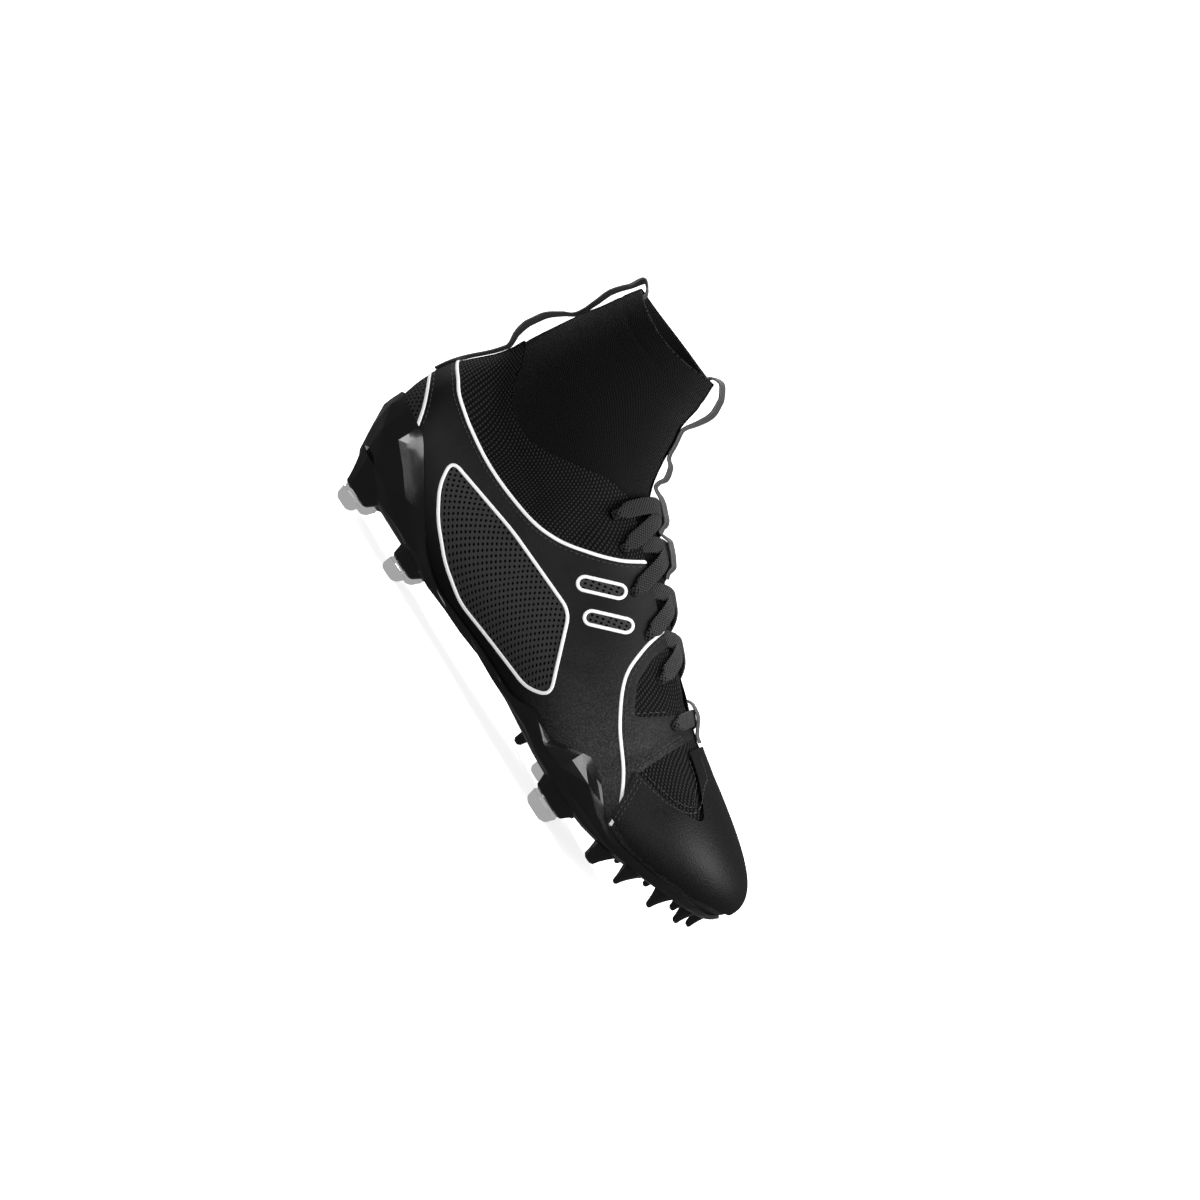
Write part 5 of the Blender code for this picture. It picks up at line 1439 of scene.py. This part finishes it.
def make_plate():
    """A faceted skin over the last's plate profiles, kept a least wall off them and smooth at
    the rim, closed by a plain inner skin. The studs are cut to the bed and joined to it."""
    knots = np.concatenate((np.linspace(0, HEEL_CENTRE, 6), np.linspace(HEEL_CENTRE, TOE_X, 16)[1:],
                            np.linspace(TOE_X, LENGTH, 10)[1:]))
    finer = np.arange((len(knots) - 1) * FACET_PARTS + 1) / FACET_PARTS
    coarse, fine = both_sides(knots), both_sides(np.interp(finer, np.arange(len(knots)), knots))
    rows = np.arange(7 * FACET_PARTS + 1) / FACET_PARTS
    wall = np.array(PLATE_SHARES) * PLATE_WALL + BED_GAP
    bulge = np.zeros((len(coarse.u), 8))
    bulge[:, 4:7] = np.resize(FACET_BULGE, (len(bulge), 3)) * MM
    calm = 1 - 0.7 * smooth_step(coarse.u, TOE_X - 30 * MM, TOE_X + 10 * MM)
    nodes = plate_skin(coarse, np.arange(8.0), wall + bulge * calm[:, None])
    outer, first = facets(nodes, len(fine.u), rows)
    true = plate_skin(fine, rows, np.interp(rows, np.arange(8), wall))
    share = smooth_step(rows, 6.3, 7.0)[None, :, None]
    outer = outer * (1 - share) + true * share
    bare = plate_skin(fine, rows, np.zeros(len(rows)))
    way = unit(true - bare)
    least = BED_GAP + PLATE_WALL * np.interp(rows, (0, 4, 7), (0.7, 0.55, 0.40))
    short = least - np.einsum("cra,cra->cr", outer - bare, way)
    outer = outer + way * np.maximum(short, 0)[..., None]
    inner = plate_skin(fine, rows, np.full(len(rows), BED_GAP))
    points, faces = wall_between(outer, inner, around=True, first_wall=False)
    flipped = faces[0, 0] != 0
    cut = np.zeros(len(faces), bool)
    cut[:len(fine.u) * (len(rows) - 1)] = first[:, :-1].ravel() != flipped
    tris = np.concatenate((faces[cut][:, (0, 1, 2)], faces[cut][:, (0, 2, 3)],
                           faces[~cut][:, (0, 1, 3)], faces[~cut][:, (1, 2, 3)]))
    look = Look("gloss_plate", Base_Color=(0.006, 0.006, 0.007, 1), Specular_IOR_Level=0.55,
                Coat_Weight=0.35, Coat_Roughness=0.05)
    look.put("Roughness", 0.10 + look.noise(0.06, 3.0) * 0.10)
    look.relief(look.noise(0.3, 2.0), 0.02 * MM)
    piece = new_piece("gloss_plate", points, tris, look.material)
    bed = bed_cutter()
    for stud in STUDS:
        body = stud_body(stud)
        boolean(body, linked("stud_bed", bed.data.copy()), "DIFFERENCE")
        boolean(piece, body, "UNION")
    bpy.data.objects.remove(bed, do_unlink=True)
    mesh = piece.data
    mesh.materials.clear()
    mesh.materials.append(look.material)
    mesh.polygons.foreach_set("material_index", np.zeros(len(mesh.polygons), np.int32))
    mesh.shade_smooth()
    finish_piece(piece, ["outsole_plate"], sharp=4)


def bed_cutter():
    """The room inside the plate and the sides, which trims the roots of the studs."""
    rays = both_sides(round_places(4 * MM))
    rows = np.arange(0, 7.01, 0.5)
    low = plate_line(rays, rows)
    normal = profile_normals(low)
    normal[:, rows <= 2] = (0, -1)
    low = low + normal * (BED_GAP + 0.4 * PLATE_WALL)
    top = np.full(len(rays.u), BASE + INSTEP_RISE)
    wall = np.stack((np.stack((low[:, -1, 0], top), 1), np.stack((0 * top, top), 1)), 1)
    grid = rays.place(np.concatenate((low, wall), 1))
    points = grid.reshape(-1, 3)
    faces = grid_faces(*grid.shape[:2], round_rows=True)
    return new_piece("bed", points, outward(points, faces))


STUDS = all_studs()


# Laces, ribbons and tab

LACE_HALF = 4.1 * MM, 0.78 * MM           # half sizes of a flat lace
LACE_GATHERED = 2.15 * MM, 1.15 * MM      # and of one that turns into an eyelet
BEND_RADIUS, BEND_DOWN = 1.7 * MM, 3.2 * MM
BEND_POINTS, DOWN_POINTS = 7, 3
FAR = 99.0                                # stands for a point with no eyelet near it


def into_hole(points, normals):
    """The path with its start turned down through an eyelet: a quarter circle, then straight
    down. Returns the path, its normals and how far each point is past the bend."""
    n = unit(normals[0])
    ahead = unit(points[1] - points[0])
    ahead = unit(ahead - n * (ahead @ n))
    first = points[0] + ahead * BEND_RADIUS
    turn = np.linspace(pi / 2, 0, BEND_POINTS)[:, None]
    arc_up = n * np.cos(turn) - ahead * np.sin(turn)
    arc = first + (arc_up - n) * BEND_RADIUS
    down = arc[0] - n * np.linspace(BEND_DOWN, BEND_DOWN / 4, DOWN_POINTS)[:, None]
    keep = ((points - first) @ ahead) > 0.4 * MM
    ups = np.concatenate((np.repeat(arc_up[:1], DOWN_POINTS, 0), arc_up, normals[keep]))
    past = np.concatenate((np.full(DOWN_POINTS, -1.0), -0.3 * np.sin(turn[:, 0]),
                           np.linalg.norm(points[keep] - first, axis=1) / MM))
    return np.concatenate((down, arc, points[keep])), ups, past


def lace_body(points, normals, both_ends):
    """A flat lace with soft edges, whose section is gathered by a smooth step of the way past
    an eyelet."""
    points, normals, past = into_hole(points, normals)
    if both_ends:
        points, normals, far = into_hole(points[::-1], normals[::-1])
        new = BEND_POINTS + DOWN_POINTS
        past = np.minimum(far, np.concatenate((np.full(new, FAR), past[::-1][new - len(far):])))
        points, normals, past = points[::-1], normals[::-1], past[::-1]
    open_out = smooth_step(past, -0.4, 4.5)
    half, thick = (tight + (flat - tight) * open_out
                   for tight, flat in zip(LACE_GATHERED, LACE_HALF))
    return sweep(points[None], normals[None], half[None], thick[None], 20, 3.4)


def lace_path(start, end, lifts, extra=0.0):
    """Points straight from start to end in plan, lifted off the instep by a curve over the way."""
    t = np.linspace(0, 1, 44)
    x, y = (a + (b - a) * t for a, b in zip(start, end))
    return INSTEP.point(x, y, read(lifts, t) + extra)


def eyelet_plan(index, side):
    """An eyelet's x from the heel and y."""
    centre, _out = eyelet(*EYELETS[index], side)
    return np.array((centre[0] + LENGTH / 2, centre[1]))


def make_laces(colour):
    """Four crossings of two halves each and the lowest bar. Where halves cross, the upper one
    rises by a bell curve. The others end under the throat's edge, the top ones in eyelets."""
    cross, collar, hump = -0.75 * MM, 3.3 * MM, 1.25 * MM
    bodies = []
    for low in range(1, 5):
        for side in (-1, 1):
            start, end = eyelet_plan(low, side), eyelet_plan(low - 1, -side)
            lifts = ((0, LACE_LIFT), (0.22, LACE_LIFT), (0.5, cross), (0.78, collar), (1, collar))
            if low > 1:
                gap = float(throat_half(max(end[0], THROAT_START * LENGTH)))
                end_y = -side * 1.06 * gap
                end = start + (end - start) * ((end_y - start[1]) / (end[1] - start[1]))
                middle = start[1] / (start[1] - end_y)
                lifts = ((0, LACE_LIFT), (0.42 * middle, LACE_LIFT), (middle, cross),
                         (1, -1.75 * MM))
            points, normals = lace_path(start, end, lifts, 0.15 * MM)
            if side > 0:
                away = np.linspace(0, 1, len(points)) - abs(start[1]) / abs(start[1] - end[1])
                points = points + normals * (hump * np.exp(-(away / 0.16) ** 2))[:, None]
            bodies.append(lace_body(points, normals, low == 1))
    points, normals = lace_path(eyelet_plan(5, -1), eyelet_plan(5, 1),
                                ((0, LACE_LIFT), (1, LACE_LIFT)))
    bodies.append(lace_body(points, normals, True))
    nodes = [f"lace_crossing_{k}" for k in range(1, 5)] + ["lace_bar"]
    make_strips("flat_laces", bodies, woven_look("lace_braid", colour, 1.5, 0.42 * MM, 0.72, 0.2),
                nodes)


def make_strips(name, bodies, look, nodes):
    """Laces or ribbons laid together as one piece."""
    points, faces, place = joined(bodies)
    finish_piece(new_piece(name, points, faces, look, place, FINE_WELD), nodes)


def ribbon_body(points, ups):
    """A ribbon: a section near to an oblong, swept along the path."""
    return sweep(points[None], ups[None], RIBBON_WIDTH / 2, RIBBON_WALL / 2, 20, 5.0)


# How far the pull ribbons stand off their guide lines, from lying on them (0) to a loop's top (1)
CONTACT = GAP + RIBBON_WALL / 2 + 0.3 * MM
HEEL_RIBBON = ((0.03, 0.31), (0.12, 0.50), (0.20, 0.22), (0.255, 0), (0.285, 0), (0.34, 0.47),
               (0.42, 0.97), (0.50, 1.0), (0.56, 0.53), (0.61, 0), (0.70, 0), (0.95, 0))
FRONT_RIBBON = ((0.03, 0.90), (0.09, 1.0), (0.17, 0.56), (0.25, 0), (0.36, 0), (0.405, 0.53),
                (0.455, 0.625), (0.505, 0.0625), (0.522, 0.094), (0.55, 0.594), (0.61, 0.6875),
                (0.688, 0.656), (0.714, 0), (0.730, 0), (0.756, 0.578), (0.82, 0.6875),
                (0.882, 0.594), (0.915, 0), (0.945, 0))


def ribbon_path(guide, way_out, table, turned):
    """The ribbon's middle line over a guide line (x, z), from inside the rim, with its normals:
    the guide's own normals times the loops' heights. Where it stands free it is twisted a
    little about its own run."""
    guide = respaced(guide[None], np.linspace(0, 1, 400))[0]
    run = np.linspace(0, 1, 400)
    shares = np.linspace(table[0][0], table[-1][0], 240)
    free = read(table, shares)
    at = np.stack([np.interp(shares, run, guide[:, k]) for k in (0, 1)], 1)
    window = np.hanning(61) / np.hanning(61).sum()
    slopes = [np.convolve(np.pad(np.gradient(guide[:, k]), 30, "edge"), window, "valid")
              for k in (0, 1)]
    slope = unit(np.stack([np.interp(shares, run, values) for values in slopes], 1))
    normal = np.stack((-slope[:, 1], slope[:, 0]), 1) * way_out
    lifts = CONTACT + (LOOP_HEIGHT - CONTACT) * free
    x, z = guide[0]
    inside = -(SOCK_WALL + GAP + RIBBON_WALL / 2 + 1.1 * MM)
    start = [(x + way_out * out, z + up * MM)
             for out, up in ((inside, -8), (inside, -1), (inside + 0.8 * MM, 1.6),
                             (-0.2 * MM, 3.6), (2.6 * MM, 3.6))]
    path = np.concatenate((start, at + normal * lifts[:, None]))
    free = np.concatenate(((0, 0, 0.5, 1, 1), np.maximum(free, 0)))
    path = np.column_stack((path / MM, free))
    path = spline(path[np.r_[0:5, 5:len(path):6]], 0.55)
    twist = turned * path[:, 2:]
    path = path[:, :2] * MM
    way = unit(np.gradient(path, axis=0))
    points = np.stack((path[:, 0] - LENGTH / 2, 0 * path[:, 0], path[:, 1]), 1)
    ups = np.stack((-way[:, 1], 0 * way[:, 0], way[:, 0]), 1) * way_out
    return points, ups * np.cos(twist) + np.array((0, -1.0, 0)) * np.sin(twist)


def sock_rim(end):
    """Height of the sock's rim, which leans from the back (-1) up to the front (1)."""
    return INSTEP_TOP + SHAFT_RISE * (1 + RIM_LEAN * (1 + end) / 2)


def ribbon_guides():
    """Lines (x, z) from the rim down the heel, and down the sock's front and the instep's ridge."""
    zs = np.linspace(sock_rim(-1), collar_height(0.045 * LENGTH), 60)
    rays = Rays(np.zeros(1), -1)
    side = respaced(rays.collar_line(150), np.linspace(0, 1, 60))[0, ::-1]
    heel = np.concatenate((np.stack((sock_slice(zs)[0], zs), 1),
                           np.stack((rays.x[0] - side[1:, 0], side[1:, 1]), 1)))
    zs = np.linspace(sock_rim(1), INSTEP_TOP - 0.01 * SHAFT_RISE, 60)
    xs = np.linspace(SEAM_X, 0.52 * LENGTH, 50)
    crown = BASE + INSTEP_RISE * section("ridge", xs) - (UPPER_WALL + GAP + TUCK_GAP) * 1.1
    front = np.concatenate((np.stack((sock_slice(zs)[1], zs), 1), np.stack((xs, crown), 1)[1:]))
    return heel, front


def make_ribbons(colour):
    """Both pull ribbons, swept over their guide lines."""
    heel, front = ribbon_guides()
    bodies = [ribbon_body(*ribbon_path(heel, -1.0, HEEL_RIBBON, -0.14)),
              ribbon_body(*ribbon_path(front, 1.0, FRONT_RIBBON, 0.15))]
    make_strips("pull_ribbons", bodies, ribbon_look("grosgrain", colour, 0.75),
                ["heel_pull_ribbon", "front_pull_ribbon"])


def make_tab(colour):
    """A short ribbon over the lowest bar: a smooth curve through seven points on the instep."""
    bar, half = eyelet_plan(5, -1)[0] / MM, 4
    down, low = (GAP + RIBBON_WALL / 2) / MM, LACE_LIFT / MM
    over = low + 0.65 + down + 0.3
    route = spline(((bar - half - 3.6, -0.8), (bar - half - 1.9, low), (bar - 1.8, over),
                    (bar + 1.8, over), (bar + half + 1.6, low + 0.5), (bar + half + 4.6, down),
                    (bar + half + 8, down)), 0.5) * MM
    points, normals = INSTEP.point(route[:, 0], 0 * route[:, 0], route[:, 1])
    make_strips("lace_tab", [ribbon_body(points, normals)],
                ribbon_look("tab_ribbon", colour, 0.75), ["throat_tab"])


# The stage

# Width and height of each soft light, and the point that they face, in metres
LIGHT_SIZES = {"key": (2.0, 1.4), "rim": (0.9, 1.6), "fill": (2.6, 0.3), "front": (0.8, 1.2)}
LIGHT_AIM = Vector((0, 0, 0.08))


def make_paper(glow):
    """The floor, a quarter circle and the backdrop, as one sheet. It lights nothing else."""
    paper = Look("white_paper", Base_Color=(0.9, 0.9, 0.9, 1), Roughness=0.9,
                 Specular_IOR_Level=0.1, Emission_Color=WHITE, Emission_Strength=glow)
    turn = np.linspace(0, pi / 2, 24)
    depth = np.concatenate(((-6.0,), 1.6 + 1.2 * np.sin(turn), (2.8,)))
    height = np.concatenate(((0.0,), 1.2 - 1.2 * np.cos(turn), (6.0,)))
    grid = np.stack(np.broadcast_arrays((-7.0, 7.0), depth[:, None], height[:, None]), 2)
    sheet = new_piece("paper_sweep", grid, grid_faces(len(depth), 2)[:, ::-1], paper.material, weld=0)
    sheet.visible_glossy = sheet.visible_diffuse = False


def make_stage(stage):
    """Paper, soft lights, an even room and the rolled camera."""
    make_paper(stage.paper_glow)
    for label, size in LIGHT_SIZES.items():
        lamp = bpy.data.lights.new(label, "AREA")
        lamp.shape = "RECTANGLE"
        lamp.size, lamp.size_y = size
        lamp.energy = getattr(stage, label + "_power")
        light = linked(label + "_light", lamp)
        light.location = getattr(stage, label + "_place")
        light.rotation_mode = "QUATERNION"
        light.rotation_quaternion = (LIGHT_AIM - light.location).to_track_quat("-Z", "Y")
    scene = bpy.context.scene
    scene.world = bpy.data.worlds.new("studio")
    scene.world.use_nodes = True
    room = scene.world.node_tree.nodes["Background"].inputs
    room["Color"].default_value = WHITE
    room["Strength"].default_value = stage.room_light
    scene.view_settings.view_transform = "Standard"
    lens = bpy.data.cameras.new("camera")
    lens.lens, lens.sensor_width = 100, 36
    lens.clip_start, lens.clip_end = 0.05, 50
    scene.camera = linked("camera", lens)
    a, e = stage.yaw, stage.elevation
    back = Vector((sin(a) * cos(e), -cos(a) * cos(e), sin(e)))
    level = Vector((cos(a), sin(a), 0))
    upright = back.cross(level)
    right = level * cos(stage.roll) + upright * sin(stage.roll)
    up = upright * cos(stage.roll) - level * sin(stage.roll)
    turn = Matrix((right, up, back)).transposed().to_4x4()
    scene.camera.matrix_world = Matrix.Translation(Vector(stage.aim) + back * stage.distance) @ turn


# Settings, operators and panel

Length = partial(FloatProperty, unit="LENGTH")
Angle = partial(FloatProperty, subtype="ANGLE")
Colour = partial(FloatVectorProperty, subtype="COLOR")
Place = partial(FloatVectorProperty, subtype="TRANSLATION")


class CleatSettings(bpy.types.PropertyGroup):
    """Sizes and colours of the finishes"""
    mesh_cell: Length(name="Mesh cell", description="Length of a cell of the woven mesh",
                      default=2.15 * MM)
    mesh_row: Length(name="Mesh row", description="Height of a row of the woven mesh", default=1.6 * MM)
    hole_pitch: Length(name="Hole pitch", description="Way between two punched holes", default=3.4 * MM)
    leather: Colour(name="Leather", description="Colour of the smooth panels",
                    default=(0.0030, 0.0030, 0.0032))
    mesh: Colour(name="Mesh", description="Colour of the woven mesh", default=(0.024, 0.024, 0.025))
    punched: Colour(name="Punched", description="Colour of the punched panels",
                    default=(0.034, 0.034, 0.035))
    knit: Colour(name="Knit", description="Colour of the knit sock and tongue",
                 default=(0.0100, 0.0100, 0.0104))
    toe: Colour(name="Toe", description="Colour of the grained toe", default=(0.0062, 0.0062, 0.0065))
    lace: Colour(name="Lace", description="Colour of the laces", default=(0.034, 0.034, 0.035))
    ribbon: Colour(name="Ribbon", description="Colour of the pull ribbons",
                   default=(0.065, 0.065, 0.068))


class CleatStage(bpy.types.PropertyGroup):
    """The camera and the lights"""
    roll: Angle(name="Roll", description="How far the camera is rolled", default=radians(56.4))
    yaw: Angle(name="Yaw", description="How far the camera stands towards the toe", default=radians(6))
    elevation: Angle(name="Elevation", description="How high the camera stands", default=radians(5))
    distance: Length(name="Distance", description="Way from the camera to its aim", default=1.605)
    aim: Place(name="Aim", description="Where the camera looks", default=(-0.0104, 0, 0.0774))
    key_place: Place(name="Key place", description="Where the key light stands",
                     default=(1.7, -0.7, 1.9))
    key_power: FloatProperty(name="Key power", description="Power of the key light, in watts",
                             default=84.0)
    rim_place: Place(name="Rim place", description="Where the rim light stands",
                     default=(-1.4, 0.9, 1.5))
    rim_power: FloatProperty(name="Rim power", description="Power of the rim light, in watts",
                             default=40.0)
    fill_place: Place(name="Fill place", description="Where the fill light stands",
                      default=(0.2, -2.1, 0.2))
    fill_power: FloatProperty(name="Fill power", description="Power of the fill light, in watts",
                              default=10.0)
    front_place: Place(name="Front place", description="Where the front light is",
                       default=(-0.7, -2.4, 0.35))
    front_power: FloatProperty(name="Front power", description="Power of the front light, in watts",
                               default=13.0)
    room_light: FloatProperty(name="Room light", description="Strength of the even light", default=0.10)
    paper_glow: FloatProperty(name="Paper glow", description="How brightly the paper shines",
                              default=0.85)


class CLEAT_OT_upper(bpy.types.Operator):
    """Adds the upper with its woven and punched panels"""
    bl_idname = "cleat.upper"
    bl_label = "Add upper"
    bl_options = {"REGISTER", "UNDO"}

    def execute(self, context):
        settings = context.scene.cleat_settings
        make_upper(settings)
        return {"FINISHED"}


class CLEAT_OT_edging(bpy.types.Operator):
    """Adds the white edging of the panels"""
    bl_idname = "cleat.edging"
    bl_label = "Add panel edging"
    bl_options = {"REGISTER", "UNDO"}

    def execute(self, context):
        make_edging()
        return {"FINISHED"}


class CLEAT_OT_knit(bpy.types.Operator):
    """Adds the knit sock, the tongue and the footbed"""
    bl_idname = "cleat.knit"
    bl_label = "Add sock, tongue and footbed"
    bl_options = {"REGISTER", "UNDO"}

    def execute(self, context):
        settings = context.scene.cleat_settings
        make_sock(settings.knit)
        make_tongue(settings.knit)
        make_insole(settings.knit)
        return {"FINISHED"}


class CLEAT_OT_overlay(bpy.types.Operator):
    """Adds the grained toe and the stitching"""
    bl_idname = "cleat.overlay"
    bl_label = "Add toe and stitching"
    bl_options = {"REGISTER", "UNDO"}

    def execute(self, context):
        settings = context.scene.cleat_settings
        make_overlay(settings.toe)
        make_stitches()
        return {"FINISHED"}


class CLEAT_OT_plate(bpy.types.Operator):
    """Adds the moulded plate with its studs, and the bright tips"""
    bl_idname = "cleat.plate"
    bl_label = "Add plate, studs and tips"
    bl_options = {"REGISTER", "UNDO"}

    def execute(self, context):
        make_plate()
        make_tips()
        return {"FINISHED"}


class CLEAT_OT_straps(bpy.types.Operator):
    """Adds the laces, the pull ribbons and the tab"""
    bl_idname = "cleat.straps"
    bl_label = "Add laces, ribbons and tab"
    bl_options = {"REGISTER", "UNDO"}

    def execute(self, context):
        settings = context.scene.cleat_settings
        make_laces(settings.lace)
        make_ribbons(settings.ribbon)
        make_tab(settings.ribbon)
        return {"FINISHED"}


class CLEAT_OT_stage(bpy.types.Operator):
    """Adds the paper sweep, the lights and the camera"""
    bl_idname = "cleat.stage"
    bl_label = "Add stage"
    bl_options = {"REGISTER", "UNDO"}

    def execute(self, context):
        make_stage(context.scene.cleat_stage)
        return {"FINISHED"}


OPERATORS = (CLEAT_OT_upper, CLEAT_OT_edging, CLEAT_OT_knit, CLEAT_OT_overlay, CLEAT_OT_plate,
             CLEAT_OT_straps, CLEAT_OT_stage)


class CLEAT_PT_panel(bpy.types.Panel):
    """Lists the settings and the pieces"""
    bl_idname = "CLEAT_PT_panel"
    bl_label = "Football cleat"
    bl_space_type = "VIEW_3D"
    bl_region_type = "UI"
    bl_category = "Cleat"

    def draw(self, context):
        for group in (context.scene.cleat_settings, context.scene.cleat_stage):
            for name in group.__annotations__:
                self.layout.prop(group, name)
        for operator in OPERATORS:
            self.layout.operator(operator.bl_idname)


CLASSES = (CleatSettings, CleatStage, *OPERATORS, CLEAT_PT_panel)


def register():
    for item in CLASSES:
        bpy.utils.register_class(item)
    bpy.types.Scene.cleat_settings = PointerProperty(type=CleatSettings)
    bpy.types.Scene.cleat_stage = PointerProperty(type=CleatStage)


def unregister():
    del bpy.types.Scene.cleat_stage, bpy.types.Scene.cleat_settings
    for item in reversed(CLASSES):
        bpy.utils.unregister_class(item)


def main():
    register()
    for operator in OPERATORS:
        getattr(bpy.ops.cleat, operator.bl_idname.split(".")[1])()


if __name__ == "__main__":
    main()
